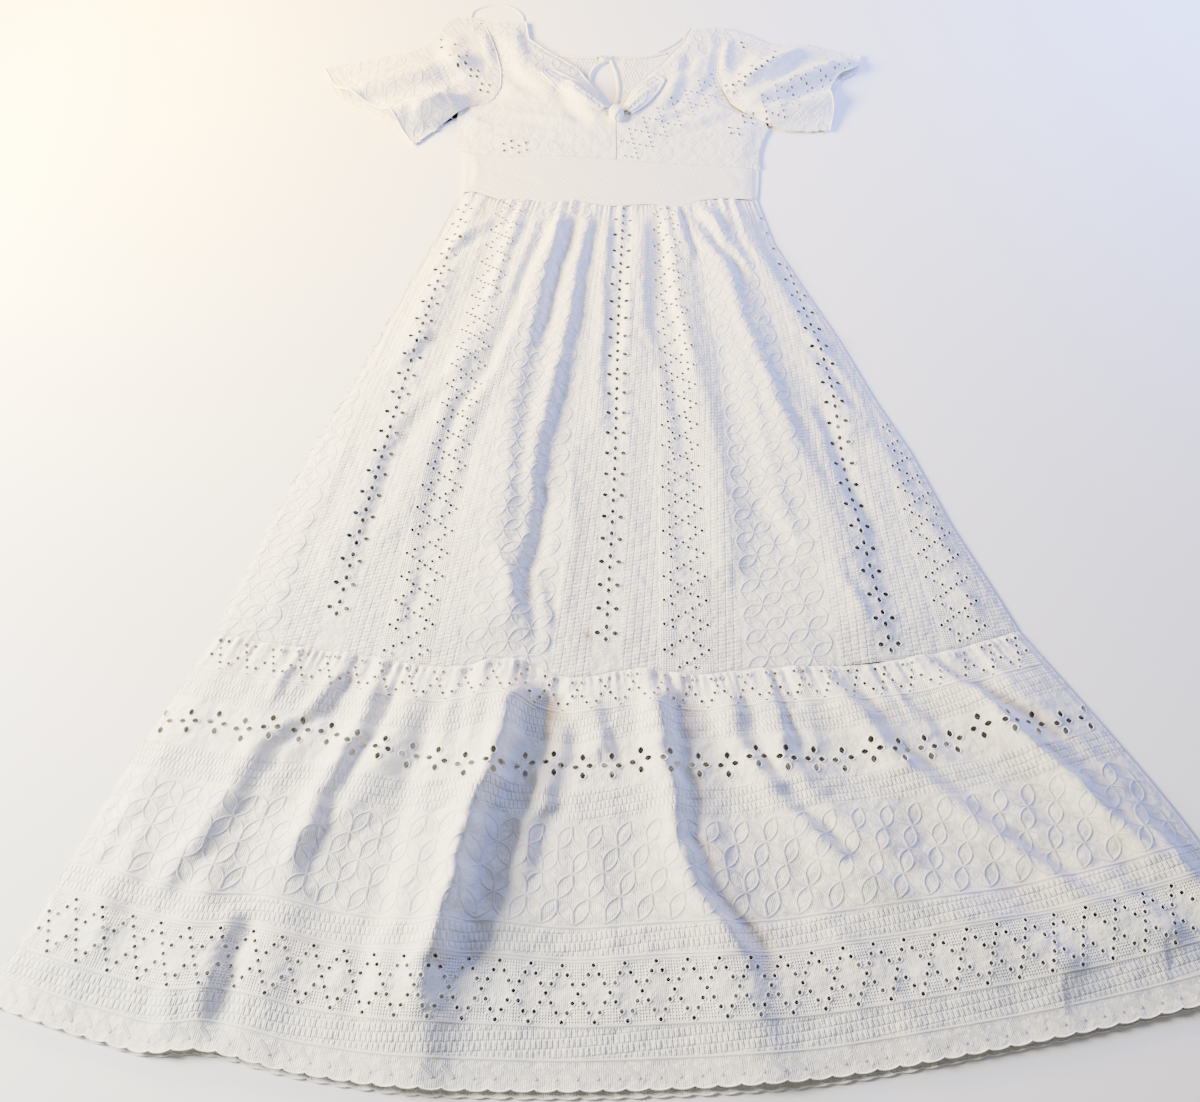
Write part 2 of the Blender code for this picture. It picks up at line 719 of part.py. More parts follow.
def build_waistband(group):
    """The plain waistband, front and back."""
    columns = GATHERS
    rows = [(0.0, columns), (0.35, columns), (0.7, columns), (1.0, SEAM_COLUMNS)]

    def point(u, v):
        x, y = band_place(u, v)
        return x, y + HALF_SEAM * (2.0 * v - 1.0), band_rise(u, v)

    cloth_piece("front_waistband", rows, point, FRONT_WALL, group, PLAIN_CLOTH)
    upper = [band_place(i / columns, 0.0) for i in range(columns + 1)]
    outline = [(x, y - HALF_SEAM) for x, y in upper]
    lower = [band_place(1.0 - i / columns, 1.0) for i in range(columns + 1)]
    outline += [(x, y + HALF_SEAM) for x, y in lower]
    flat_piece("back_waistband", outline, 0.0, BACK_WALL, group, PLAIN_CLOTH)


def build_front_bodice(group):
    """Two front halves, from the shoulder to the waistband, that meet below the knot."""
    for name, sides in (
        ("front_bodice_left", BODICE_LEFT_SIDES),
        ("front_bodice_right", BODICE_RIGHT_SIDES),
    ):
        columns = 9
        top_y = sides[0].y
        low_y = sides[-1].y

        def point(u, v, sides=sides, top_y=top_y, low_y=low_y):
            y_row = top_y + (low_y - top_y) * v
            left, right = side_at(sides, y_row)
            x = left + (right - left) * u
            y_seam = seam_height(WAISTBAND_TOP, x) + 2.0 * HALF_SEAM
            blend = float(smoothstep(KNOT.y, low_y, y_row))
            y = y_row + (y_seam - low_y) * blend
            return x, y, bodice_rise(x, y)

        stops = [(top_y - row.y) / (top_y - low_y) for row in sides]
        cloth_piece(name, grid_rows(stops, columns), point, FRONT_WALL, group, EYELET_CLOTH)


def keyhole_outline(grow=0.0):
    """Points round the teardrop, down its left side and up its right, grown evenly outwards."""
    spots = [Vector((row.left, row.y)) for row in KEYHOLE_SIDES]
    spots += [Vector((row.right, row.y)) for row in reversed(KEYHOLE_SIDES)]
    grown = []
    for i, spot in enumerate(spots):
        before = spots[max(i - 1, 0)]
        after = spots[min(i + 1, len(spots) - 1)]
        ahead = (after - before).normalized()
        grown.append(spot + Vector((ahead.y, -ahead.x)) * -grow)
    return [(spot.x, spot.y) for spot in grown]


def build_back_bodice(group):
    """The flat back with its neck edge, open at the keyhole up to the fastening."""
    outline = [tuple(spot) for spot in BACK_NECK]
    outline += keyhole_outline()
    outline += [tuple(spot) for spot in BACK_NECK_RIGHT]
    outline += [(row.right - HALF_SEAM, row.y) for row in BODICE_RIGHT_SIDES]
    columns = GATHERS
    seam = [band_place(1.0 - i / columns, 0.0) for i in range(columns + 1)]
    outline = outline[:-1] + [(x, y + HALF_SEAM) for x, y in seam]
    rows = sorted(BODICE_LEFT_SIDES, key=lambda row: row.y)[1:]
    outline += [(row.left + HALF_SEAM, row.y) for row in rows]
    flat_piece("back_bodice", outline, 0.0, BACK_WALL, group, EYELET_CLOTH)


def strip_outline(path, width, steps):
    """The outline of a strip of even width along a smooth curve."""
    centres = [Vector(curve_point(path, i / steps)) for i in range(steps + 1)]
    left = []
    right = []
    for i, spot in enumerate(centres):
        before = centres[max(i - 1, 0)]
        after = centres[min(i + 1, steps)]
        ahead = (after - before).normalized()
        aside = Vector((-ahead.y, ahead.x)) * width / 2.0
        left.append(spot + aside)
        right.append(spot - aside)
    return [(p.x, p.y) for p in left + right[::-1]]


def build_bindings(group):
    """Narrow bindings that lie on the back's neck edge and round its keyhole."""
    inset = BINDING_WIDTH / 2.0 + CLEARANCE
    left = (Spot(-84.0, 571.5 - inset), Spot(-60.0, 568.8 - inset), Spot(-36.0, 567.5 - inset))
    right = (Spot(-7.0, 567.5 - inset), Spot(31.0, 570.0 - inset), Spot(54.0, 576.5 - inset))
    for name, path in (("back_neck_binding_left", left), ("back_neck_binding_right", right)):
        outline = strip_outline(path, BINDING_WIDTH - 1.0, 8)
        flat_piece(name, outline, REST, BINDING_WALL, group, TRIM_CLOTH)


def build_keyhole_binding(group):
    """The binding round the keyhole, open at the top where it fastens."""
    inner = keyhole_outline(0.6)
    outer = keyhole_outline(BINDING_WIDTH)
    flat_piece("keyhole_binding", inner + outer[::-1], REST, BINDING_WALL, group, TRIM_CLOTH)


def curve_tube(name, places, radius, group, colour):
    """A round cord along a list of places, with closed ends."""
    data = bpy.data.curves.new(name, "CURVE")
    data.dimensions = "3D"
    data.bevel_depth = radius * MM
    data.bevel_resolution = 1
    data.use_fill_caps = True
    spline = data.splines.new("POLY")
    spline.points.add(len(places) - 1)
    for point, place in zip(spline.points, places):
        point.co = (place[0] * MM, place[1] * MM, place[2] * MM, 1.0)
    item = bpy.data.objects.new(name, data)
    data.materials.append(material(name + "_cord", colour, 0.8))
    item.location = (-PLAN_CENTRE.x * MM, -PLAN_CENTRE.y * MM, 0.0)
    group.objects.link(item)
    return item


def build_fastening(group):
    """The small button at the top of the keyhole and the cord loop that holds it."""
    base = REST + BINDING_WALL + CLEARANCE
    bm = bmesh.new()
    matrix = Matrix.Translation(Vector((BUTTON.x, BUTTON.y, base + BUTTON_HEIGHT / 2.0)) * MM)
    bmesh.ops.create_cone(
        bm,
        cap_ends=True,
        segments=20,
        radius1=BUTTON_RADIUS * MM,
        radius2=BUTTON_RADIUS * 0.82 * MM,
        depth=BUTTON_HEIGHT * MM,
        matrix=matrix,
    )
    add_object("neck_button", bm, group, BUTTON_COLOUR, 0.4)
    places = []
    for step in range(11):
        angle = math.radians(-35.0 - 290.0 * step / 10.0)
        x = BUTTON.x + LOOP_RADIUS * math.cos(angle)
        y = BUTTON.y + LOOP_RADIUS * math.sin(angle)
        places.append((x, y, base + CORD_RADIUS))
    ends = [(-12.5, BUTTON.y - 1.6, base + CORD_RADIUS), (-12.5, BUTTON.y + 1.6, base + CORD_RADIUS)]
    places = [ends[0]] + places + [ends[1]]
    curve_tube("neck_button_loop", places, CORD_RADIUS, group, TRIM_CLOTH)


def build_hanger_loops(group):
    """The thin tapes at the shoulders, lying beside the neck."""
    for name, path in (("hanger_loop_left", HANGER_LEFT), ("hanger_loop_right", HANGER_RIGHT)):
        outline = strip_outline(path, TAPE_WIDTH, 12)
        flat_piece(name, outline, 0.0, TAPE_WALL, group, TRIM_CLOTH)


def build_sleeves(group):
    """Two short flutter sleeves: a waved front over a flat back, folded along the top."""
    table = (
        (
            "sleeve_left",
            (SLEEVE_LEFT_ARMHOLE, SLEEVE_LEFT_TOP, SLEEVE_LEFT_CUFF, SLEEVE_LEFT_UNDERARM),
            SLEEVE_LEFT_FOLDS,
            -1.0,
        ),
        (
            "sleeve_right",
            (SLEEVE_RIGHT_ARMHOLE, SLEEVE_RIGHT_TOP, SLEEVE_RIGHT_CUFF, SLEEVE_RIGHT_UNDERARM),
            SLEEVE_RIGHT_FOLDS,
            1.0,
        ),
    )
    stops = [i / 8 for i in range(9)]
    for name, edges, folds, away in table:
        columns = 2 * (len(edges[0]) - 1)
        shift = away * 2.0 * HALF_SEAM

        def point(u, v, edges=edges, folds=folds, shift=shift):
            x, y = coons_place(*edges, u, v)
            return x + shift, y + 2.0 * HALF_SEAM, sleeve_rise(edges, folds, u, v)

        cloth_piece(
            name + "_front", grid_rows(stops, columns), point, FRONT_WALL, group, EYELET_CLOTH
        )

        def back(u, v, edges=edges, shift=shift, away=away):
            x, y = coons_place(*edges, u, v)
            show = BACK_CUFF_SHOW * math.sin(math.pi * u) * v
            return x + shift + away * show, y + 2.0 * HALF_SEAM - 0.6 * show

        outline = [back(i / columns, 0.0) for i in range(columns + 1)]
        outline += [back(1.0, v) for v in stops[1:-1]]
        outline += [back(1.0 - i / columns, 1.0) for i in range(columns + 1)]
        outline += [back(0.0, v) for v in reversed(stops[1:-1])]
        flat_piece(name + "_back", outline, 0.0, BACK_WALL, group, EYELET_CLOTH)


def on_bodice(x, y):
    """Height of a piece that lies on the front bodice's outer face."""
    return bodice_rise(x, y) + FRONT_WALL + CLEARANCE + FACET_SLACK


def build_ties(group):
    """The two short ends of the tie, crowned along their middles, lying on the bodice."""
    for tie in TIE_ENDS:
        ahead = Vector(tie.tip) - Vector(tie.start)
        aside = Vector((-ahead.y, ahead.x)).normalized()

        def point(u, v, tie=tie, ahead=ahead, aside=aside):
            wide = tie.half_width * (0.35 + 0.65 * math.sin(math.pi * min(0.12 + v * 0.8, 1.0)))
            across = 2.0 * u - 1.0
            spot = Vector(tie.start) + ahead * v + aside * across * wide
            crown = TIE_CROWN * (1.0 - across * across) * math.sin(math.pi * min(v + 0.15, 1.0))
            return spot.x, spot.y, on_bodice(spot.x, spot.y) + max(crown, 0.0)

        stops = [i / TIE_ROWS for i in range(TIE_ROWS + 1)]
        cloth_piece(
            tie.name, grid_rows(stops, TIE_COLUMNS), point, FRONT_WALL, group, EYELET_CLOTH
        )


def build_knot(group):
    """The knot: a rounded wrap of cloth that sits on the bodice where its halves meet."""
    base = 0.0
    for ring in range(KNOT_RINGS):
        share = ring / KNOT_RINGS
        drop = KNOT_HEIGHT / 2.0 * (1.0 - math.sqrt(1.0 - share * share))
        for step in range(12):
            angle = math.radians(30.0 * step)
            x = KNOT.x + share * KNOT_HALF_WIDTH * math.cos(angle)
            y = KNOT.y + share * KNOT_HALF_LENGTH * math.sin(angle)
            base = max(base, on_bodice(x, y) - drop - KNOT_SETTLE)
    bm = bmesh.new()
    matrix = Matrix.Translation(Vector((KNOT.x, KNOT.y, base + KNOT_HEIGHT / 2.0)) * MM)
    matrix = matrix @ Matrix.Rotation(math.radians(-12.0), 4, "Z")
    size = Vector((KNOT_HALF_WIDTH, KNOT_HALF_LENGTH, KNOT_HEIGHT / 2.0)) * MM
    matrix = matrix @ Matrix.Diagonal(size.to_4d())
    bmesh.ops.create_uvsphere(bm, u_segments=14, v_segments=8, radius=1.0, matrix=matrix)
    add_object("center_knot", bm, group, EYELET_CLOTH)


def cut_eyelets(piece, cutters, spots):
    """Cut diamond holes through a piece at (x, y, direction) places."""
    bm = bmesh.new()
    for x, y, angle in spots:
        matrix = Matrix.Translation(Vector((x, y, 0.0)) * MM)
        matrix = matrix @ Matrix.Rotation(angle, 4, "Z")
        bmesh.ops.create_cone(
            bm,
            cap_ends=True,
            segments=4,
            radius1=EYELET_HALF * MM,
            radius2=EYELET_HALF * MM,
            depth=CUTTER_HEIGHT * MM,
            matrix=matrix,
        )
    cutter = add_object(piece.name + "_eyelet_cutter", bm, cutters, PLAIN_CLOTH)
    cutter.hide_render = True
    cutter.display_type = "WIRE"
    cut = piece.modifiers.new("eyelets", "BOOLEAN")
    cut.operation = "DIFFERENCE"
    cut.solver = "EXACT"
    cut.object = cutter


def cluster_spots(line, offsets):
    """Places of the cut holes in clusters strung along a line at an even pitch."""
    length = sum(math.dist(a, b) for a, b in zip(line, line[1:]))
    count = int(length // CLUSTER_PITCH) + 1
    spots = []
    for i in range(count):
        t = i * CLUSTER_PITCH / length
        spot = Vector(curve_point(line, t))
        ahead = Vector(curve_point(line, min(t + 0.01, 1.0))) - Vector(curve_point(line, t - 0.01))
        ahead.normalize()
        aside = Vector((-ahead.y, ahead.x))
        angle = math.atan2(ahead.y, ahead.x)
        for along, across in offsets:
            place = spot + ahead * along + aside * across
            spots.append((place.x, place.y, angle))
    return spots


def build_eyelets(skirt, ruffle, cutters):
    """The largest holes of each cluster, cut through the front."""
    across_pair = ((0.0, CLUSTER_ACROSS), (0.0, -CLUSTER_ACROSS))
    along_pair = ((CLUSTER_ALONG, 0.0), (-CLUSTER_ALONG, 0.0))
    spots = []
    for line in SKIRT_BANDS:
        spots += cluster_spots(line, across_pair)
    cut_eyelets(skirt, cutters, spots)
    cut_eyelets(ruffle, cutters, cluster_spots(RUFFLE_BAND, across_pair + along_pair))


def main():
    clear_scene()
    dress = new_collection("maxi_dress")
    cutters = new_collection("cutters")
    skirt = build_skirt(dress)
    ruffle = build_ruffle(dress)
    build_waistband(dress)
    build_front_bodice(dress)
    build_back_bodice(dress)
    build_bindings(dress)
    build_keyhole_binding(dress)
    build_fastening(dress)
    build_hanger_loops(dress)
    build_sleeves(dress)
    build_ties(dress)
    build_knot(dress)
    build_eyelets(skirt, ruffle, cutters)


main()
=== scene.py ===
"""Maxi dress laid flat on its back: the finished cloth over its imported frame.

Tables are in millimetres: +X is the picture's right, +Y runs from the hem to the neck, and the
floor is z = 0. Every panel is a fine sheet of cloth on the form of its own solid, with its eyelets
cut through and its cord embroidery lying on it.
"""

import math
from collections import namedtuple

import bpy
import numpy as np
from bpy.props import FloatProperty, FloatVectorProperty, IntProperty, PointerProperty
from bpy.types import Operator, Panel, PropertyGroup
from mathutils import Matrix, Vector
from mathutils.geometry import delaunay_2d_cdt
from mathutils.kdtree import KDTree


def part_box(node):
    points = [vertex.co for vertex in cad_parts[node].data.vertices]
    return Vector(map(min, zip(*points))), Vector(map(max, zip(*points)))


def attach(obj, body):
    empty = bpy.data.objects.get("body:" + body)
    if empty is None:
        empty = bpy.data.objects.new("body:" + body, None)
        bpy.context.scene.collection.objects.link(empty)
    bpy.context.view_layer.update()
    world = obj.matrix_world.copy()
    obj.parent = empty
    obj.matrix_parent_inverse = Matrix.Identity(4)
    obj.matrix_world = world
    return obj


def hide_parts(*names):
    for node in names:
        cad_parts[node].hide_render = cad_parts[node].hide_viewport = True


bl_info = {
    "name": "Maxi dress, laid flat",
    "version": (1, 0, 0),
    "blender": (4, 5, 0),
    "location": "View3D > Sidebar > Dress",
    "description": "Builds an eyelet maxi dress laid out on the floor",
    "category": "Object",
}

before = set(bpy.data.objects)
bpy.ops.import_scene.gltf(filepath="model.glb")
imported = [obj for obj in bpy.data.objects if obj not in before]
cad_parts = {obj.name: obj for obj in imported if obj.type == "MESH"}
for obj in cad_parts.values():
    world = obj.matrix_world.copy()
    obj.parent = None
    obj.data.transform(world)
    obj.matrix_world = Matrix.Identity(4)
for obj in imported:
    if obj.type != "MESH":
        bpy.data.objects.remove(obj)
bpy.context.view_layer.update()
BODY = "root"
MM = 0.001

Side = namedtuple("Side", "y left right")
Spot = namedtuple("Spot", "x y")
Fold = namedtuple("Fold", "path height left right")
Fall = namedtuple("Fall", "drop width path")
Hole = namedtuple("Hole", "x y angle along across")
Band = namedtuple("Band", "start end")
Cut = namedtuple("Cut", "width length area")
Lamp = namedtuple("Lamp", "name place toward size share colour")
TieEnd = namedtuple("TieEnd", "name start tip half_width under")


def spot_line(*pairs):
    """Spots from pairs of x and y."""
    return tuple(Spot(float(x), float(y)) for x, y in pairs)


def side_rows(*rows):
    """A piece's outer edges from rows of y, left and right."""
    return tuple(Side(float(y), float(left), float(right)) for y, left, right in rows)


PLAN_CENTRE = Spot(5.5, 9.863)

# Cloth thicknesses and clearances, as in the solids
BACK_WALL = 1.2
FRONT_WALL = 1.5
CLEARANCE = 0.3
HALF_SEAM = 0.2
REST = BACK_WALL + CLEARANCE
FACE = 0.9
BACK_FACE = 0.75
JOIN_HEIGHT = 1.2

# How far the front panels stand off the back ones, and the gathers beside their seams
SKIRT_PUFF = 4.0
RUFFLE_PUFF = 5.0
BODICE_PUFF = 3.0
WAISTBAND_PUFF = 2.0
SEAM_SHARE = 0.35
SIDE_FALL = 34.0
SEAM_FALL = 45.0
GATHERS = 24
WAIST_GATHER_HEIGHT = 2.6
WAIST_GATHER_LENGTH = 48.0
TIER_GATHER_HEIGHT = 3.4
TIER_GATHER_LENGTH = 44.0
SCALLOPS = 60
SCALLOP_DEPTH = 2.0
BACK_HEM_DROP = 5.0
STEEPEST = 1.2
RUFFLE_WIDTH = 1000.0

# Outer edges of the dress
WAISTBAND_SIDES = side_rows(
    (390, -205, 161), (355, -201, 159), (300, -200, 155),
)
SKIRT_SIDES = side_rows(
    (302, -200, 155), (234, -222, 169), (160, -250, 199), (87, -274, 230), (6, -303, 259),
    (-60, -330, 287), (-150, -360, 316), (-230, -384, 348), (-265, -391, 361),
)
RUFFLE_LEFT = spot_line(
    (-391, -266), (-427, -344), (-464, -431), (-490, -505), (-523, -587),
)
RUFFLE_RIGHT = spot_line(
    (361, -263), (409, -340), (459, -425), (496, -498), (534, -568),
)
WAISTBAND_TOP = spot_line(
    (-205, 389), (-178, 381), (-150, 377), (-85, 378), (10, 369), (93, 362), (161, 355),
)
WAIST_SEAM = spot_line(
    (-200, 314), (-184, 315), (-155, 303), (-120, 301), (-89, 296), (-58, 298), (-20, 291),
    (33, 293), (60, 288), (90, 300), (155, 302),
)
TIER_SEAM = spot_line(
    (-391, -266), (-330, -278), (-255, -288), (-165, -301), (-120, -293), (-55, -311),
    (0, -303), (60, -308), (115, -302), (196, -299), (275, -288), (361, -263),
)
HEM = spot_line(
    (-523, -587), (-426, -615), (-384, -624), (-350, -622), (-273, -637), (-200, -647),
    (-90, -651), (30, -649), (140, -642), (256, -625), (394, -600), (534, -568),
)

# Bodice outlines: the armhole or side edge, and the neck edge
BODICE_LEFT_SIDES = side_rows(
    (636, -187, -131), (600, -176, -126), (570, -167, -97), (536, -160, -60), (505, -159, -43),
    (482, -167, -30), (472, -176, -24), (464, -211, -18), (450, -211, -12.5),
    (420, -209, -12.5), (390, -207, -12.5), (378, -205, -12.5),
)
BODICE_RIGHT_SIDES = side_rows(
    (622, 88, 138), (592, 76, 130), (570, 61, 124), (546, 47, 121), (526, 29, 120),
    (495, 6, 125), (470, -4, 134), (456, -9, 148), (448, -11.5, 173), (426, -11.5, 178),
    (408, -11.5, 170), (385, -11.5, 163), (358, -11.5, 161),
)
BACK_NECK = spot_line(
    (-131, 633), (-126, 600), (-115, 584), (-90, 572), (-50, 568), (-20, 567), (31, 570),
    (56, 577), (74, 592), (84, 606), (88, 622),
)
KEYHOLE_SIDES = side_rows(
    (560, -27, -15), (550, -39.5, -12), (537, -46.5, -8.5), (521, -49.5, -6), (504, -49.5, -5),
    (487, -46, -6), (472, -39.5, -9.5), (462, -32, -15), (457, -26, -20),
)
KEYHOLE_CENTRE = Spot(-20.0, 497.0)
KEYHOLE_LIFT = 1.7
KEYHOLE_REACH = 80.0

SLEEVE_LEFT_ARMHOLE = tuple(Spot(row.left, row.y) for row in BODICE_LEFT_SIDES[:8])
SLEEVE_LEFT_TOP = spot_line(
    (-187, 636), (-204, 645), (-230, 641), (-242, 617), (-258, 589), (-331, 557), (-389, 541),
)
SLEEVE_LEFT_CUFF = spot_line(
    (-389, 541), (-361, 492), (-338, 477), (-316, 464), (-292, 438), (-261, 398),
)
SLEEVE_LEFT_UNDERARM = spot_line(
    (-211, 464), (-233, 430), (-261, 398),
)
SLEEVE_RIGHT_ARMHOLE = tuple(Spot(row.right, row.y) for row in BODICE_RIGHT_SIDES[:9])
SLEEVE_RIGHT_TOP = spot_line(
    (138, 622), (160, 611), (192, 590), (232, 591), (262, 579), (309, 567),
)
SLEEVE_RIGHT_CUFF = spot_line(
    (309, 567), (298, 538), (272, 520), (260, 492), (262, 462), (254, 423),
)
SLEEVE_RIGHT_UNDERARM = spot_line(
    (173, 448), (186, 430), (254, 423),
)
BACK_CUFF_SHOW = 6.0

# Folds: crest line, crest height, and how far the cloth falls away on each side of it
SKIRT_FOLDS = (
    Fold(((-79, 290), (-105, 148), (-127, -3), (-128, -144), (-120, -300)), 9.0, 40.0, 17.0),
    Fold(((-41, 290), (-58, 195), (-85, 3), (-93, -97)), 6.0, 26.0, 15.0),
    Fold(((-21, 284), (-26, 148), (-34, -23)), 3.0, 14.0, 12.0),
    Fold(((22, 284), (15, 215), (8, 53)), 3.5, 14.0, 12.0),
    Fold(((53, 284), (66, 115), (84, -48), (94, -189)), 5.5, 22.0, 16.0),
    Fold(((86, 286), (126, 132), (165, -35), (210, -189), (229, -285)), 8.0, 34.0, 17.0),
    Fold(((-126, 290), (-144, 157), (-190, -3), (-230, -144)), 5.0, 24.0, 18.0),
    Fold(((-179, 300), (-222, 142), (-256, -23), (-292, -200)), 4.0, 18.0, 22.0),
    Fold(((133, 290), (183, 113), (227, -35)), 3.5, 18.0, 14.0),
)
RUFFLE_FOLDS = (
    Fold(((-308, -285), (-362, -486), (-352, -625)), 8.0, 34.0, 20.0),
    Fold(((-177, -300), (-225, -390), (-285, -469), (-305, -625)), 7.0, 30.0, 22.0),
    Fold(((-122, -296), (-129, -390), (-152, -510), (-174, -645)), 15.0, 48.0, 20.0),
    Fold(((-46, -312), (-32, -377)), 6.0, 14.0, 10.0),
    Fold(((18, -306), (37, -426), (66, -526), (98, -640)), 9.0, 34.0, 20.0),
    Fold(((82, -308), (152, -438), (252, -509), (337, -561)), 9.0, 30.0, 22.0),
    Fold(((262, -290), (351, -374), (480, -505)), 11.0, 24.0, 12.0),
    Fold(((160, -302), (245, -384), (362, -484), (424, -534)), 7.0, 26.0, 18.0),
    Fold(((-262, -288), (-285, -334), (-318, -417)), 4.0, 16.0, 14.0),
)
BODICE_FOLDS = (
    Fold(((-159, 500), (-82, 470), (-26, 445)), 4.0, 16.0, 16.0),
    Fold(((-153, 594), (-109, 524), (-50, 468)), 3.5, 18.0, 18.0),
    Fold(((118, 554), (70, 495), (6, 440)), 4.0, 16.0, 16.0),
    Fold(((137, 448), (81, 440), (16, 430)), 3.0, 14.0, 14.0),
)
SLEEVE_LEFT_FOLDS = (
    Fold(((-181, 560), (-192, 610), (-208, 632)), 7.0, 10.0, 9.0),
    Fold(((-205, 548), (-289, 508), (-352, 478)), 13.0, 20.0, 16.0),
    Fold(((-225, 462), (-268, 446), (-305, 428)), 22.0, 22.0, 20.0),
)
SLEEVE_RIGHT_FOLDS = (
    Fold(((134, 596), (128, 560), (136, 500)), 6.0, 9.0, 10.0),
    Fold(((141, 493), (176, 528), (222, 572)), 13.0, 15.0, 14.0),
    Fold(((156, 468), (206, 502), (285, 545)), 13.0, 15.0, 14.0),
    Fold(((176, 452), (222, 462), (262, 480)), 9.0, 12.0, 13.0),
)
# Small soft creases between the main folds
SKIRT_CREASES = (
    Fold(((-128, -190), (-104, -250), (-98, -300)), 2.4, 9.0, 6.0),
    Fold(((-92, -205), (-80, -262), (-88, -300)), 2.0, 8.0, 6.0),
    Fold(((-62, -60), (-58, -170), (-66, -240)), 1.4, 9.0, 7.0),
    Fold(((30, -60), (38, -190), (30, -280)), 1.6, 12.0, 9.0),
    Fold(((118, 60), (138, -70), (160, -190)), 1.8, 12.0, 8.0),
    Fold(((-170, 90), (-206, -60), (-214, -190)), 1.8, 12.0, 9.0),
    Fold(((-292, -60), (-322, -160), (-340, -250)), 1.6, 12.0, 10.0),
    Fold(((262, -60), (292, -160), (322, -250)), 1.8, 12.0, 9.0),
    Fold(((0, 250), (-2, 150), (-6, 60)), 1.6, 6.0, 6.0),
    Fold(((100, 270), (112, 210), (120, 160)), 2.0, 7.0, 6.0),
    Fold(((-100, 280), (-116, 210), (-132, 150)), 2.0, 7.0, 6.0),
    Fold(((-152, 290), (-170, 220), (-184, 160)), 1.8, 8.0, 7.0),
)
RUFFLE_CREASES = (
    Fold(((-398, -300), (-432, -390), (-452, -470)), 2.2, 12.0, 9.0),
    Fold(((-88, -330), (-92, -390), (-80, -430)), 2.6, 9.0, 7.0),
    Fold(((-24, -420), (-30, -510), (-20, -590)), 1.8, 16.0, 12.0),
    Fold(((118, -320), (130, -372), (128, -410)), 2.4, 8.0, 6.0),
    Fold(((150, -520), (196, -570), (224, -628)), 2.4, 15.0, 10.0),
    Fold(((214, -310), (222, -352), (236, -392)), 2.2, 8.0, 6.0),
    Fold(((330, -300), (372, -352), (420, -410)), 2.2, 10.0, 8.0),
    Fold(((-222, -320), (-238, -360), (-258, -396)), 2.0, 8.0, 6.0),
    Fold(((-420, -480), (-448, -560), (-452, -600)), 2.2, 18.0, 12.0),
    Fold(((-236, -560), (-244, -610), (-240, -640)), 2.0, 14.0, 10.0),
)
BODICE_CREASES = (
    Fold(((-150, 452), (-90, 440), (-40, 436)), 1.6, 8.0, 8.0),
    Fold(((-196, 440), (-150, 420), (-90, 412)), 1.4, 9.0, 8.0),
    Fold(((120, 500), (84, 462), (40, 438)), 1.6, 7.0, 7.0),
    Fold(((150, 420), (90, 410), (30, 408)), 1.3, 8.0, 8.0),
    Fold(((104, 560), (88, 530), (60, 500)), 1.4, 8.0, 7.0),
    Fold(((-140, 560), (-128, 520), (-96, 480)), 1.4, 8.0, 7.0),
    Fold(((120, 600), (112, 560), (108, 530)), 2.2, 6.0, 5.0),
)
SLEEVE_LEFT_CREASES = (
    Fold(((-186, 520), (-240, 492), (-300, 470)), 2.4, 9.0, 8.0),
    Fold(((-214, 590), (-250, 556), (-320, 530)), 1.8, 12.0, 9.0),
    Fold(((-196, 490), (-232, 462), (-262, 424)), 2.2, 9.0, 7.0),
)
SLEEVE_RIGHT_CREASES = (
    Fold(((150, 520), (172, 556), (192, 580)), 2.0, 8.0, 6.0),
    Fold(((170, 470), (222, 484), (258, 500)), 2.0, 7.0, 7.0),
    Fold(((182, 440), (220, 444), (252, 450)), 1.6, 7.0, 7.0),
)

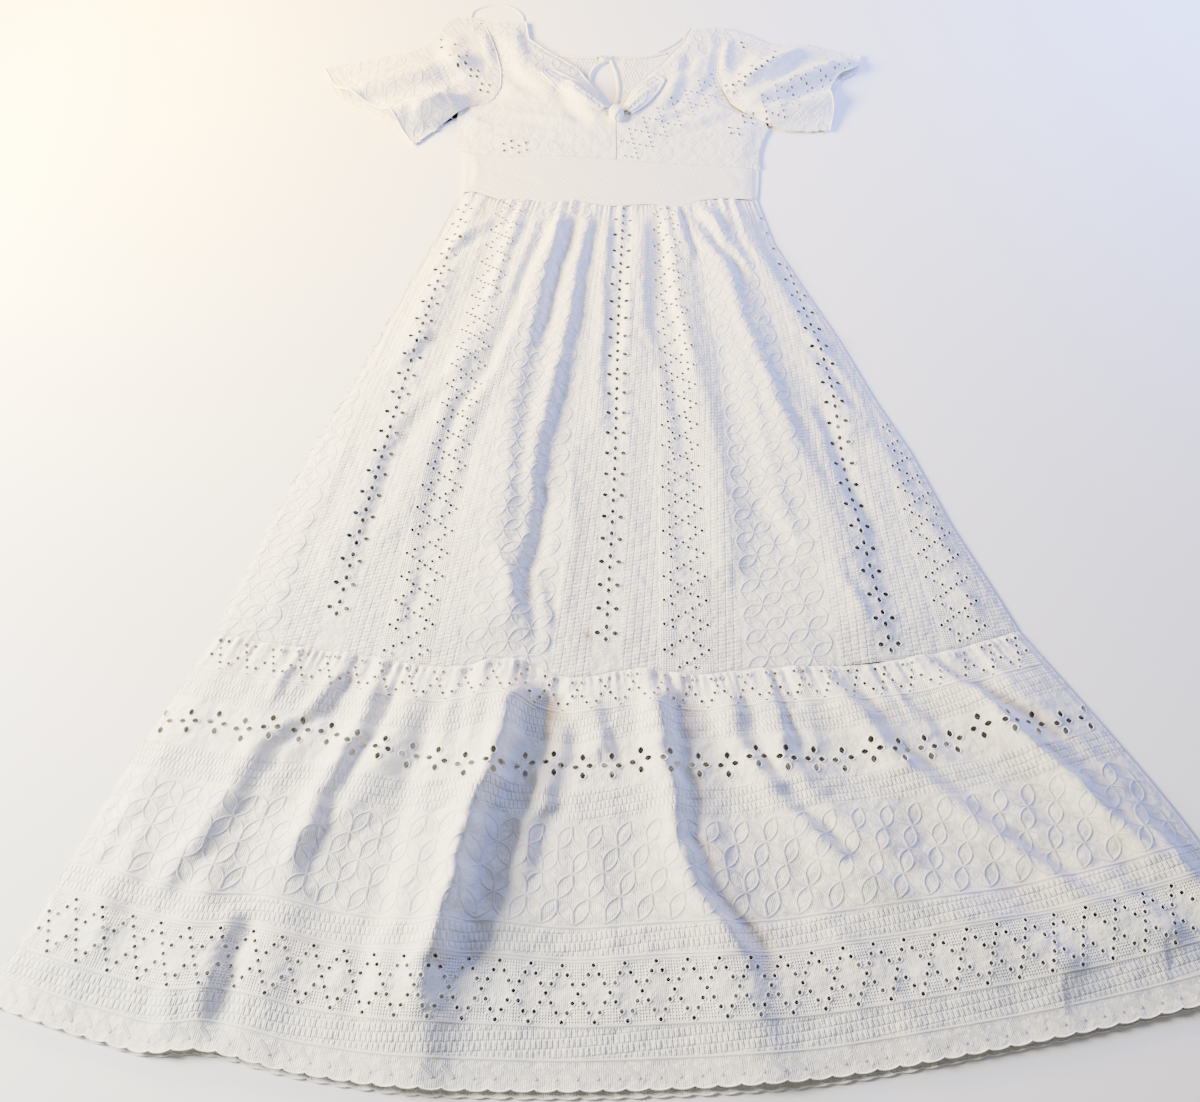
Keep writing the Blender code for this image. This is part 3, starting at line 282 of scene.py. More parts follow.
# Falls: lines along which the cloth drops away to the right as they run down, or rises where
# the drop is negative
SKIRT_FALLS = (
    Fall(2.6, 7.0, ((-70, 275), (-79, 206), (-91, 152), (-100, 92), (-106, 50))),
    Fall(1.9, 6.0, ((-40, 280), (-49, 212), (-58, 140), (-66, 80), (-73, 35))),
    Fall(2.8, 7.5, ((-66, 70), (-85, -16), (-94, -100), (-97, -160), (-109, -220), (-112, -270))),
    Fall(1.1, 5.0, ((-20, 270), (-25, 140), (-28, 50), (-28, -16))),
    Fall(1.5, 8.0, ((23, 275), (26, 170), (23, 110), (41, 20), (50, -64), (74, -160))),
    Fall(2.0, 4.5, ((60, 284), (66, 250), (71, 224), (76, 185))),
    Fall(2.0, 7.5, ((80, 262), (110, 194), (128, 122), (140, 62), (164, -16), (178, -95))),
    Fall(2.1, 7.5, ((189, 10), (203, -40), (212, -100), (233, -160), (244, -205))),
    Fall(2.2, 7.0, ((-150, 262), (-190, 230), (-220, 188), (-240, 158))),
    Fall(1.5, 6.0, ((-118, 268), (-136, 206), (-148, 152), (-162, 100))),
    Fall(1.6, 7.0, ((-210, 98), (-235, 62), (-252, 30))),
    Fall(1.7, 9.0, ((-158, 66), (-208, 8), (-232, -28), (-253, -70), (-258, -125), (-280, -208))),
    Fall(1.2, 7.0, ((-148, 8), (-166, -52), (-181, -124), (-198, -170))),
    Fall(
        -2.2,
        7.0,
        ((-80, 280), (-97, 212), (-112, 170), (-130, 92), (-148, 38), (-172, -4), (-199, -112)),
    ),
    Fall(-1.1, 6.0, ((9, 282), (3, 200), (-7, 110), (-13, 50), (-10, -100))),
    Fall(-2.0, 6.0, ((40, 282), (44, 212), (50, 140), (59, 62), (76, -10))),
    Fall(-2.4, 7.0, ((78, 290), (104, 242), (122, 200), (139, 152))),
    Fall(-1.7, 6.5, ((188, 98), (212, 56), (230, 26), (250, -28))),
    Fall(-1.3, 9.0, ((130, -115), (152, -160), (172, -198))),
    Fall(-1.5, 8.0, ((282, -130), (308, -184), (334, -225))),
    Fall(-1.2, 5.0, ((-129, 286), (-142, 240))),
    Fall(1.1, 6.0, ((-205, -200), (-216, -240), (-214, -272))),
    Fall(1.3, 7.0, ((196, -190), (214, -232), (222, -268))),
)
RUFFLE_FALLS = (
    Fall(
        9.8,
        11.0,
        ((-80, -312), (-101, -350), (-120, -410), (-131, -448), (-146, -500), (-173, -625)),
    ),
    Fall(5.8, 9.0, ((30, -312), (34, -395), (38, -462), (60, -508), (98, -560), (122, -584))),
    Fall(4.6, 9.0, ((82, -314), (98, -372), (128, -425), (172, -478), (218, -500), (258, -524))),
    Fall(5.2, 9.5, ((174, -306), (202, -342), (232, -388), (278, -425), (330, -470), (422, -543))),
    Fall(4.6, 7.0, ((276, -296), (322, -342), (360, -388), (398, -432), (435, -470), (460, -487))),
    Fall(1.5, 6.0, ((238, -318), (255, -348), (272, -368))),
    Fall(2.4, 8.0, ((-56, -350), (-75, -425), (-90, -485), (-100, -520))),
    Fall(4.4, 9.0, ((-222, -308), (-240, -358), (-262, -418), (-278, -462), (-294, -512))),
    Fall(2.6, 6.5, ((-260, -304), (-285, -342), (-315, -372), (-342, -382))),
    Fall(3.0, 10.0, ((-315, -372), (-341, -418), (-368, -470), (-400, -534))),
    Fall(3.4, 9.0, ((-320, -515), (-338, -575), (-340, -622))),
    Fall(1.5, 5.5, ((-312, -300), (-332, -345))),
    Fall(1.1, 6.0, ((-24, -362), (-14, -412))),
    Fall(2.4, 6.5, ((306, -316), (352, -358), (392, -390))),
    Fall(-2.0, 10.0, ((-163, -306), (-180, -358), (-195, -448), (-210, -545), (-225, -640))),
    Fall(-1.8, 5.5, ((-62, -328), (-51, -360))),
    Fall(-1.4, 9.0, ((-384, -575), (-379, -618))),
    Fall(-1.8, 6.5, ((134, -345), (158, -390))),
    Fall(-1.3, 8.0, ((8, -320), (4, -370), (12, -420))),
    Fall(-1.2, 9.0, ((-420, -440), (-446, -500), (-452, -560))),
)
BODICE_FALLS = (
    Fall(-3.6, 9.0, ((-80, 505), (-68, 470), (-52, 448), (-34, 430))),
    Fall(-2.6, 12.0, ((-152, 545), (-122, 510), (-95, 484), (-60, 458))),
    Fall(1.5, 7.0, ((-138, 625), (-134, 585), (-124, 550))),
    Fall(2.0, 8.0, ((80, 570), (74, 520), (64, 480), (40, 428))),
    Fall(1.3, 7.0, ((110, 520), (92, 478), (58, 440), (22, 420))),
    Fall(-1.3, 6.0, ((118, 590), (108, 545), (100, 505))),
    Fall(-1.1, 6.0, ((-190, 446), (-140, 448), (-88, 434), (-44, 424))),
    Fall(1.2, 6.0, ((-178, 418), (-120, 404), (-60, 396))),
    Fall(1.2, 7.0, ((140, 455), (96, 430), (40, 412))),
    Fall(0.9, 5.0, ((-70, 570), (-56, 540), (-46, 520))),
)
WAISTBAND_FALLS = (
    Fall(-1.3, 5.0, ((-190, 376), (-184, 350), (-189, 318))),
    Fall(0.9, 5.0, ((-176, 368), (-130, 366), (-84, 356))),
    Fall(-0.8, 5.0, ((-160, 350), (-120, 340), (-90, 325))),
    Fall(0.8, 5.0, ((120, 350), (134, 332), (130, 312))),
)
SLEEVE_LEFT_FALLS = (
    Fall(-3.0, 12.0, ((-236, 612), (-242, 570), (-222, 530), (-196, 500))),
    Fall(-2.0, 6.0, ((-190, 625), (-183, 580), (-174, 530))),
    Fall(-2.6, 9.0, ((-340, 486), (-275, 490), (-226, 496))),
    Fall(0.8, 9.0, ((-214, 500), (-228, 470), (-232, 440))),
    Fall(1.6, 8.0, ((-222, 600), (-262, 560), (-330, 530))),
    Fall(-1.6, 7.0, ((-280, 476), (-262, 446), (-262, 420))),
)
SLEEVE_RIGHT_FALLS = (
    Fall(2.4, 7.0, ((236, 578), (205, 535), (175, 490))),
    Fall(3.0, 9.0, ((276, 530), (235, 500), (186, 466))),
    Fall(-1.6, 5.0, ((135, 605), (128, 570), (120, 520))),
    Fall(1.7, 6.0, ((250, 478), (218, 468), (184, 456))),
    Fall(-1.5, 8.0, ((182, 588), (162, 556), (140, 520))),
)

# Single eyelets of the sleeves, where the photo shows them
SLEEVE_LEFT_EYELETS = spot_line(
    (-242, 599), (-240, 581), (-222, 583), (-221, 562), (-225, 548), (-213, 544), (-204, 551),
    (-214, 532), (-205, 537.5), (-198, 531), (-189, 532), (-198, 520), (-190, 520.5),
    (-183, 509), (-173.5, 507), (-184.5, 497.5), (-175, 495),
)
SLEEVE_RIGHT_EYELETS = spot_line(
    (129, 501.5), (137.5, 497), (129.5, 490), (138, 485.5), (147, 521), (153, 507.5),
    (145, 502), (152, 495), (163.5, 531), (167.5, 519), (160, 511), (177.5, 547), (183, 534.5),
    (175, 525), (197.5, 572), (191, 542.5), (155, 593), (157, 583),
)

# Embroidery: lines that the eyelet clusters are stitched along
SKIRT_BANDS = (
    spot_line((-201, 235), (-236, 47), (-258, -97), (-281, -253)),
    spot_line((-6, 240), (-10, 156), (-17, -88), (-27, -289)),
    spot_line((196, 125), (210, 52), (218, -96), (238, -286)),
)
RUFFLE_BAND = spot_line(
    (-424, -354), (-347, -361), (-259, -371), (-186, -392), (-60, -395), (132, -391),
    (245, -381), (324, -360), (412, -352),
)
CLUSTER_PITCH = 25.4
CLUSTER_ACROSS = 8.3
CLUSTER_ALONG = 6.2
# A cluster's four eyelets: place along and across its line, and size each way
CLUSTER_OFFSETS = (
    (0.0, CLUSTER_ACROSS, 0.85, 1.1),
    (0.0, -CLUSTER_ACROSS, 0.85, 1.1),
    (CLUSTER_ALONG, 0.0, 1.05, 0.8),
    (-CLUSTER_ALONG, 0.0, 1.05, 0.8),
)
# Clusters are carried on up the skirt's short gathers to this height
CLUSTERS_END = 292.0
SMALLER_CLUSTER = 0.9
# Stitched rims round the eyelets, and a cord's height as a share of its width
RIM_WIDTH = 1.3
RIM_HEIGHT = 0.6
CORD_RISE = 0.5
# Stitches never go under the surface that the dress lies on
LOWEST_STITCH = 0.05
# Places tried for an eyelet that would touch its neighbour's cells
NUDGES = ((0.0, 0.0), (0.9, 0.0), (-0.9, 0.0), (0.0, 0.9), (0.0, -0.9))
NUDGES += ((1.3, 1.3), (-1.3, -1.3), (1.3, -1.3), (-1.3, 1.3))

# Where the cloth's stripes lie across one repeat, from one line of clusters to the next
REPEAT = 256.0
STRIPE_DASHES = (Band(14.0, 47.0), Band(98.0, 122.0), Band(209.0, 242.0))
STRIPE_TRELLIS = Band(51.0, 95.0)
STRIPE_PETALS = Band(126.0, 204.0)
TRELLIS_PITCH = 25.4
TRELLIS_INSET = 2.0
PETAL_PITCH = 26.2
PETAL_ROWS = 4
# Where the stripes' own lengths are counted from, and how far they run on each piece
SKIRT_TOP = 240.0
SKIRT_REACH = Band(-60.0, 570.0)
BODICE_REACH = Band(-200.0, 260.0)
SLEEVE_REACH = Band(-120.0, 240.0)
# The same stripes down the ruffle, from the tier seam to the hem
RUFFLE_DEPTH = 341.0
RUFFLE_TOP_TRELLIS = Band(-8.0, 36.0)
RUFFLE_DASHES = (Band(41.0, 66.0), Band(110.0, 136.0), Band(226.0, 245.0), Band(300.0, 319.0))
RUFFLE_PETALS = Band(141.0, 221.0)
RUFFLE_TRELLIS = Band(252.0, 294.0)
# Each trellis of the ruffle with its count of diamonds from side to side
RUFFLE_ROWS = ((RUFFLE_TOP_TRELLIS, 30), (RUFFLE_TRELLIS, 39))
# Its petals are counted from side to side too, over the length that keeps their rings round
RUFFLE_PETAL_COUNT = 36
RUFFLE_PETALS_LONG = 914.0
# Depths of its single cords, and the row of leaves above the hem
RUFFLE_CORDS = (37.0, 223.5, 247.0, 249.5, 297.0, 321.0)
LEAF_COUNT = 66
LEAF_PITCH = 16.0
LEAF_DEPTH = 330.0
LEAF_HEIGHT = 9.0

KNOT = Spot(-12.0, 441.0)
TIE_ENDS = (
    TieEnd("tie_end_left", Spot(-25.0, 452.0), Spot(-102.0, 524.0), 15.0, "front_bodice_left"),
    TieEnd("tie_end_right", Spot(1.0, 447.0), Spot(45.0, 514.0), 14.0, "front_bodice_right"),
)
TIE_CROWN = 4.5
BINDING_WIDTH = 6.0
BINDING_WALL = 1.2
BUTTON = Spot(-26.5, 561.0)
HANGER_LEFT = spot_line(
    (-206, 647.4), (-203, 662), (-189, 673), (-170, 676), (-150, 669), (-138, 655),
    (-133.6, 634.4),
)
HANGER_RIGHT = spot_line(
    (84.4, 621), (78.5, 609), (70, 598), (58, 587), (43, 576.3),
)
HANGER_HALF = 2.25
STAIN = Spot(-43.6, -269.6)
# How brown the stain's pale rim and its middle are, and how wide
STAIN_SPREADS = ((0.30, 9.0), (0.75, 2.6))

# How far in from the sides a front panel comes down to the back one
SIDE_JOIN = 7.0
WAISTBAND_WIDTH = 366.0
WAISTBAND_DEPTH = 80.0
SLEEVE_ROUND = 180.0
BACK_WAVES = 0.06

# Rows and columns of cells in each sheet; the front skirt's columns are a setting
SKIRT_ROWS = 288
RUFFLE_CELLS = (168, 540)
WAISTBAND_CELLS = (48, 200)
BODICE_CELLS = (150, 96)
SLEEVE_CELLS = (110, 120)
TIE_CELLS = (60, 36)
BACK_SKIRT_CELLS = (150, 190)
BACK_RUFFLE_CELLS = (90, 280)
BACK_WAISTBAND_CELLS = (20, 90)
BACK_BODICE_STEP = 3.0
KNOT_CELLS = (40, 64)
BUTTON_STEPS = 40

# The stage, in metres; each lamp has a share of the window light's power
LAMPS = (
    Lamp("window_left", (-1.75, -0.12, 0.72), (0.1, 0.0, 0.0), 0.5, 1.0, "#FFFAF0"),
    Lamp("lamp_by_the_left_sleeve", (-0.85, 0.66, 0.40), (-0.2, 0.5, 0.0), 0.25, 0.22, "#FFC808"),
    Lamp("lamp_by_the_waist", (-0.95, 0.25, 0.28), (0.0, 0.15, 0.0), 0.2, 0.10, "#FFD658"),
    Lamp("sky_by_the_right_sleeve", (0.95, 0.75, 0.60), (0.1, 0.35, 0.0), 0.6, 0.21, "#7896FF"),
    Lamp("sky_over_the_neck", (0.25, 0.75, 0.85), (0.1, 0.4, 0.0), 0.8, 0.03, "#F4F1FF"),
)
ROOM_LIGHT = 0.20
CAMERA_PLACE = (-0.0375, -0.71486, 0.9388)
CAMERA_TILT = 29.4
SENSOR_WIDTH = 36.0
FLOOR_REACH = 6.0
FLOOR_DROP = 0.0005


def linear(code):
    """An sRGB hex colour as linear RGBA."""
    values = [int(code[i : i + 2], 16) / 255.0 for i in (1, 3, 5)]
    shades = [v / 12.92 if v <= 0.04045 else ((v + 0.055) / 1.055) ** 2.4 for v in values]
    return tuple(shades) + (1.0,)


class DressSettings(PropertyGroup):
    """Colours and stitches of the dress."""

    ivory: FloatVectorProperty(
        name="Eyelet cloth",
        description="Colour of the embroidered cotton",
        default=linear("#F2F2EC"),
        subtype="COLOR",
        size=4,
    )
    plain: FloatVectorProperty(
        name="Waistband cloth",
        description="Colour of the plain jersey",
        default=linear("#F2F0E9"),
        subtype="COLOR",
        size=4,
    )
    eyelet: FloatProperty(
        name="Large eyelet",
        description="Half the width of a cluster's eyelets",
        default=0.0027,
        unit="LENGTH",
    )
    small_eyelet: FloatProperty(
        name="Small eyelet",
        description="Half the width of a trellis eyelet",
        default=0.0018,
        unit="LENGTH",
    )
    cord: FloatProperty(
        name="Embroidery cord",
        description="Width of the corded outlines",
        default=0.0013,
        unit="LENGTH",
    )
    skirt_columns: IntProperty(
        name="Skirt columns",
        description="Cells across the front skirt",
        default=330,
        min=60,
    )


class StageSettings(PropertyGroup):
    """Camera, floor and lights."""

    lens: FloatProperty(
        name="Lens",
        description="Focal length in millimetres on a 36 mm wide sensor",
        default=33.0,
    )
    floor: FloatVectorProperty(
        name="Floor",
        description="Colour of the floor",
        default=linear("#FAFAFA"),
        subtype="COLOR",
        size=4,
    )
    key: FloatProperty(
        name="Window light",
        description="Power of the window light from the left",
        default=165.0,
        unit="POWER",
    )


# Shapes


def ease(low, high, value):
    """0 below low, 1 above high, an easy slope between."""
    t = np.clip((np.asarray(value, float) - low) / (high - low), 0.0, 1.0)
    return t * t * (3.0 - 2.0 * t)


def hermite(xs, ys, x):
    """A smooth curve through a table's points, at x."""
    slope = np.gradient(ys, xs)
    index = np.clip(np.searchsorted(xs, x, side="right") - 1, 0, len(xs) - 2)
    span = xs[index + 1] - xs[index]
    s = np.clip((x - xs[index]) / span, 0.0, 1.0)
    start = (2 * s**3 - 3 * s**2 + 1) * ys[index] + (s**3 - 2 * s**2 + s) * span * slope[index]
    end = (3 * s**2 - 2 * s**3) * ys[index + 1] + (s**3 - s**2) * span * slope[index + 1]
    return start + end


def curve(points, t):
    """Points on the smooth curve through a list of places, t from 0 to 1 along it."""
    places = np.array([(p[0], p[1]) for p in points], float)
    steps = np.hypot(*np.diff(places, axis=0).T)
    along = np.concatenate([[0.0], np.cumsum(steps)]) / steps.sum()
    t = np.asarray(t, float)
    return hermite(along, places[:, 0], t), hermite(along, places[:, 1], t)


def even(points, t):
    """Points on straight runs between places, each run an equal share of t."""
    stops = np.linspace(0.0, 1.0, len(points))
    return (
        np.interp(t, stops, [p[0] for p in points]),
        np.interp(t, stops, [p[1] for p in points]),
    )


def seam_height(seam, x):
    """How far up the dress a crosswise seam lies at x."""
    places = np.array(sorted((p[0], p[1]) for p in seam), float)
    return hermite(places[:, 0], places[:, 1], np.asarray(x, float))


def side_at(sides, y):
    """The left and right edge of a piece at a height up the dress."""
    rows = sorted(sides, key=lambda row: row.y)
    ys = [row.y for row in rows]
    return (
        np.interp(y, ys, [row.left for row in rows]),
        np.interp(y, ys, [row.right for row in rows]),
    )


def nearest_on(path, x, y):
    """Where places lie from a line of straight runs.

    Gives the distance, its part along x, how far aside of the line, and the share of the line passed.
    """
    runs = list(zip(path, path[1:]))
    total = sum(math.dist(a, b) for a, b in runs)
    passed = 0.0
    best = np.full_like(x, 1e9)
    level, aside, share = np.zeros_like(x), np.zeros_like(x), np.zeros_like(x)
    for a, b in runs:
        length = math.dist(a, b)
        ux = (b[0] - a[0]) / length
        uy = (b[1] - a[1]) / length
        along = np.clip((x - a[0]) * ux + (y - a[1]) * uy, 0.0, length)
        dx = x - a[0] - ux * along
        dy = y - a[1] - uy * along
        distance = np.hypot(dx, dy)
        nearer = distance < best
        best = np.where(nearer, distance, best)
        level = np.where(nearer, dx, level)
        aside = np.where(nearer, dy * ux - dx * uy, aside)
        share = np.where(nearer, (passed + along) / total, share)
        passed += length
    return best, level, aside, share


def fold_height(folds, x, y):
    """Rise of the cloth, summed over the folds near each place."""
    rise = np.zeros_like(x)
    for fold in folds:
        distance, level, _, share = nearest_on(fold.path, x, y)
        width = np.where(level < 0, fold.left, fold.right)
        fade = 0.55 + 0.45 * np.sin(math.pi * np.minimum(share + 0.25, 1.0) / 1.25)
        rise += fold.height * fade * np.exp(-((distance / width) ** 2))
    return rise


def fall_height(falls, x, y):
    """Rise and dip of the cloth beside the lines along which it falls away."""
    rise = np.zeros_like(x)
    for fall in falls:
        distance, _, aside, share = nearest_on(fall.path, x, y)
        t = np.sign(aside) * distance / fall.width
        fade = ease(0.0, 0.12, share) * ease(0.0, 0.3, 1.0 - share)
        rise -= fall.drop * fade * t * np.exp((1.0 - t * t) / 2.0)
    return rise


def settle(rise):
    """Keep a front panel's underside off the back panel, with no sharp line where it touches."""
    above = rise - REST
    return REST + 0.5 * (above + np.sqrt(above * above + 0.36))


def gather_height(u, distance, height, length):
    """Rise of the gathers that leave a seam: uneven in depth, length and spacing."""
    phase = 2.0 * math.pi * (GATHERS * u + 0.22 * np.sin(14.5 * u + 0.5))
    depth = 0.55 + 0.45 * np.sin(35.8 * u + 1.0)
    reach = length * (0.75 + 0.5 * np.sin(27.0 * u + 2.0) ** 2)
    return height * depth * (0.5 + 0.5 * np.sin(phase)) * np.exp(-distance / reach)


def pucker(u, distance, count, height, reach):
    """Small tight puckers that a gathering stitch leaves beside its seam."""
    phase = 2.0 * math.pi * (count * u + 0.35 * np.sin(41.0 * u) + 0.2 * np.sin(97.0 * u + 1.0))
    uneven = 0.6 + 0.4 * np.sin(53.0 * u + 0.7)
    return height * uneven * np.sin(phase) * np.exp(-distance / reach)


def soft_waves(x, y, height):
    """The slight unevenness of cloth that has been smoothed out by hand."""
    wave = np.sin(0.031 * x + 0.012 * y + 1.3 * np.sin(0.011 * y + 0.5))
    wave += 0.7 * np.sin(0.052 * x - 0.023 * y + 1.1 * np.sin(0.017 * x + 2.0))
    wave += 0.5 * np.sin(0.018 * x + 0.066 * y + 0.9 * np.sin(0.029 * x))
    wave += 0.35 * np.sin(0.117 * x + 0.041 * y + 1.7 * np.sin(0.037 * y))
    wave += 0.30 * np.sin(0.23 * x + 0.11 * y + 2.1 * np.sin(0.06 * y))
    wave += 0.20 * np.sin(0.10 * x - 0.31 * y + 1.5 * np.sin(0.08 * x))
    return height * wave


def wandering(x, y):
    """The x that a fold's line is drawn at, so that its edge isn't dead straight."""
    bow = 2.4 * np.sin(0.048 * y + 0.015 * x)
    return x + bow + 1.3 * np.sin(0.127 * y + 0.05 * x) + 0.6 * np.sin(0.31 * y)


def seam_share(distance):
    """How much of the puff a seam leaves, growing with the distance from it."""
    return SEAM_SHARE + (1.0 - SEAM_SHARE) * ease(0.0, SEAM_FALL, distance)


def place_between(sides, top, bottom, u, v):
    """Places on a piece bounded by two crosswise seams: u across, v down."""
    top_left, top_right = side_at(sides, sides[0].y)
    low_left, low_right = side_at(sides, sides[-1].y)
    y_top = seam_height(top, top_left + (top_right - top_left) * u)
    y_low = seam_height(bottom, low_left + (low_right - low_left) * u)
    left, right = side_at(sides, sides[0].y + (sides[-1].y - sides[0].y) * v)
    return left + (right - left) * u, y_top + (y_low - y_top) * v


def skirt_place(u, v):
    """Places on the upper skirt."""
    return place_between(SKIRT_SIDES, WAIST_SEAM, TIER_SEAM, u, v)


def skirt_rise(u, x, y):
    """Underside of the front skirt above the floor."""
    from_waist = np.maximum(skirt_place(u, 0.0 * u)[1] - y, 0.0)
    from_tier = np.maximum(y - skirt_place(u, 0.0 * u + 1.0)[1], 0.0)
    left, right = side_at(SKIRT_SIDES, y)
    side = ease(0.0, SIDE_FALL, np.minimum(x - left, right - x))
    share = seam_share(from_waist) * seam_share(from_tier)
    drape = SKIRT_PUFF + fold_height(SKIRT_FOLDS, x, y) + fold_height(SKIRT_CREASES, x, y)
    gathers = gather_height(u, from_waist, WAIST_GATHER_HEIGHT, WAIST_GATHER_LENGTH)
    gathers += pucker(u, from_waist, 61, 0.8, 16.0) * ease(0.0, 3.0, from_waist)
    falls = fall_height(SKIRT_FALLS, 0.5 * (x + wandering(x, y)), y)
    falls = falls * (0.6 + 0.4 * ease(0.0, 25.0, from_waist)) * seam_share(from_tier)
    return settle(REST + side * (share * (drape + soft_waves(x, y, 0.5)) + falls) + gathers)


def ruffle_place(u, v):
    """Places on the ruffle: straight down from the tier seam, bowed with its side edges."""
    top_x, top_y = skirt_place(u, 0.0 * u + 1.0)
    hem_x = HEM[0].x + (HEM[-1].x - HEM[0].x) * u
    hem_y = seam_height(HEM, hem_x)
    x = top_x + (hem_x - top_x) * v
    y = top_y + (hem_y - top_y) * v
    for edge, share in ((RUFFLE_LEFT, 1.0 - u), (RUFFLE_RIGHT, u)):
        edge_x, edge_y = curve(edge, v)
        x = x + share * (edge_x - (edge[0].x + (edge[-1].x - edge[0].x) * v))
        y = y + share * (edge_y - (edge[0].y + (edge[-1].y - edge[0].y) * v))
    return x, y


def ruffle_rise(u, v, x, y):
    """Underside of the front ruffle above the floor."""
    from_seam = np.maximum(ruffle_place(u, 0.0 * u)[1] - y, 0.0)
    left = ruffle_place(0.0 * u, v)[0]
    right = ruffle_place(0.0 * u + 1.0, v)[0]
    side = ease(0.0, SIDE_FALL, np.minimum(x - left, right - x))
    hem = 1.0 - 0.55 * ease(0.8, 1.0, v)
    wander = wandering(x, y)
    drape = RUFFLE_PUFF + fold_height(RUFFLE_FOLDS, x, y) + fold_height(RUFFLE_CREASES, wander, y)
    puff = side * seam_share(from_seam) * hem * (drape + soft_waves(x, y, 0.8))
    gathers = gather_height(u + 0.013, from_seam, TIER_GATHER_HEIGHT, TIER_GATHER_LENGTH)
    gathers += pucker(u, from_seam, 97, 1.1, 13.0) * ease(0.0, 3.0, from_seam)
    gathers += pucker(u + 0.4, from_seam, 43, 1.5, 30.0) * ease(0.0, 6.0, from_seam)
    falls = side * fall_height(RUFFLE_FALLS, wander, y)
    falls = falls * (0.5 + 0.5 * ease(0.0, 20.0, from_seam)) * (0.4 + 0.6 * hem)
    return settle(REST + puff + falls + gathers)


def scallop(u):
    """How far the hem's edge drops at u, in rounded scallops."""
    return SCALLOP_DEPTH * np.abs(np.sin(math.pi * SCALLOPS * u)) ** 0.7


def band_place(u, v):
    """Places on the waistband."""
    return place_between(WAISTBAND_SIDES, WAISTBAND_TOP, WAIST_SEAM, u, v)


def band_rise(u, v, x, y):
    """Underside of the front waistband above the floor."""
    middle = np.sin(math.pi * v)
    left, right = side_at(WAISTBAND_SIDES, y)
    side = ease(0.0, 20.0, np.minimum(x - left, right - x))
    ripple = 0.5 * np.sin(9.0 * u + 2.0 * v) * middle
    ripple += 0.22 * np.sin(31.0 * u + 7.0 * v + 1.5 * np.sin(5.0 * v)) * middle
    ripple += fall_height(WAISTBAND_FALLS, x, y)
    return REST + side * (SEAM_SHARE * SKIRT_PUFF + (WAISTBAND_PUFF + ripple) * middle * 0.5)


def bodice_rise(x, y, left_half):
    """Underside of one half of the front bodice above the floor."""
    left, right = side_at(BODICE_LEFT_SIDES if left_half else BODICE_RIGHT_SIDES, y)
    inner = right if left_half else left
    outer = left if left_half else right
    from_outer = ease(0.0, 24.0, np.abs(x - outer))
    neck = np.where(y < KNOT.y, 1.0, ease(-4.0, 14.0, np.abs(x - inner)))
    seam = seam_share(np.maximum(y - seam_height(WAISTBAND_TOP, x), 0.0) * 2.0)
    shoulder = 1.0 - ease(585.0, 640.0, y) * 0.8
    away = np.hypot(x - KEYHOLE_CENTRE.x, y - KEYHOLE_CENTRE.y)
    lift = KEYHOLE_LIFT * (1.0 - ease(KEYHOLE_REACH, KEYHOLE_REACH + 40.0, away))
    drape = BODICE_PUFF + fold_height(BODICE_FOLDS, x, y) + fold_height(BODICE_CREASES, x, y)
    falls = fall_height(BODICE_FALLS, x, y)
    waves = soft_waves(x, y, 0.25)
    return settle(REST + lift + from_outer * neck * seam * shoulder * (drape + falls + waves))


def coons_place(edges, u, v):
    """Places inside four joined edges: u from the top edge to the underarm, v to the cuff."""
    armhole, top, cuff, underarm = edges
    start = even(armhole, u)
    end = curve(cuff, u)
    upper = curve(top, v)
    lower = curve(underarm, v)
    spots = []
    for k in range(2):
        corner_a = armhole[0][k] + (armhole[-1][k] - armhole[0][k]) * u
        corner_b = cuff[0][k] + (cuff[-1][k] - cuff[0][k]) * u
        across = start[k] + (end[k] - start[k]) * v
        down = upper[k] + (lower[k] - upper[k]) * u
        spots.append(across + down - (corner_a + (corner_b - corner_a) * v))
    return spots[0], spots[1]


def sleeve_rise(folds, falls, u, v, x, y):
    """Underside of a front sleeve above the floor: low at its folded edges, waved at the cuff."""
    edge = ease(0.0, 0.22, np.minimum(u, 1.0 - u))
    root = 0.3 + 0.7 * ease(0.0, 0.35, v)
    drape = BODICE_PUFF * root + fold_height(folds, x, y) * np.maximum(root, 0.6)
    return settle(REST + edge * (drape + fall_height(falls, x, y) + soft_waves(x, y, 0.3)))


# Cloth made from grids of points


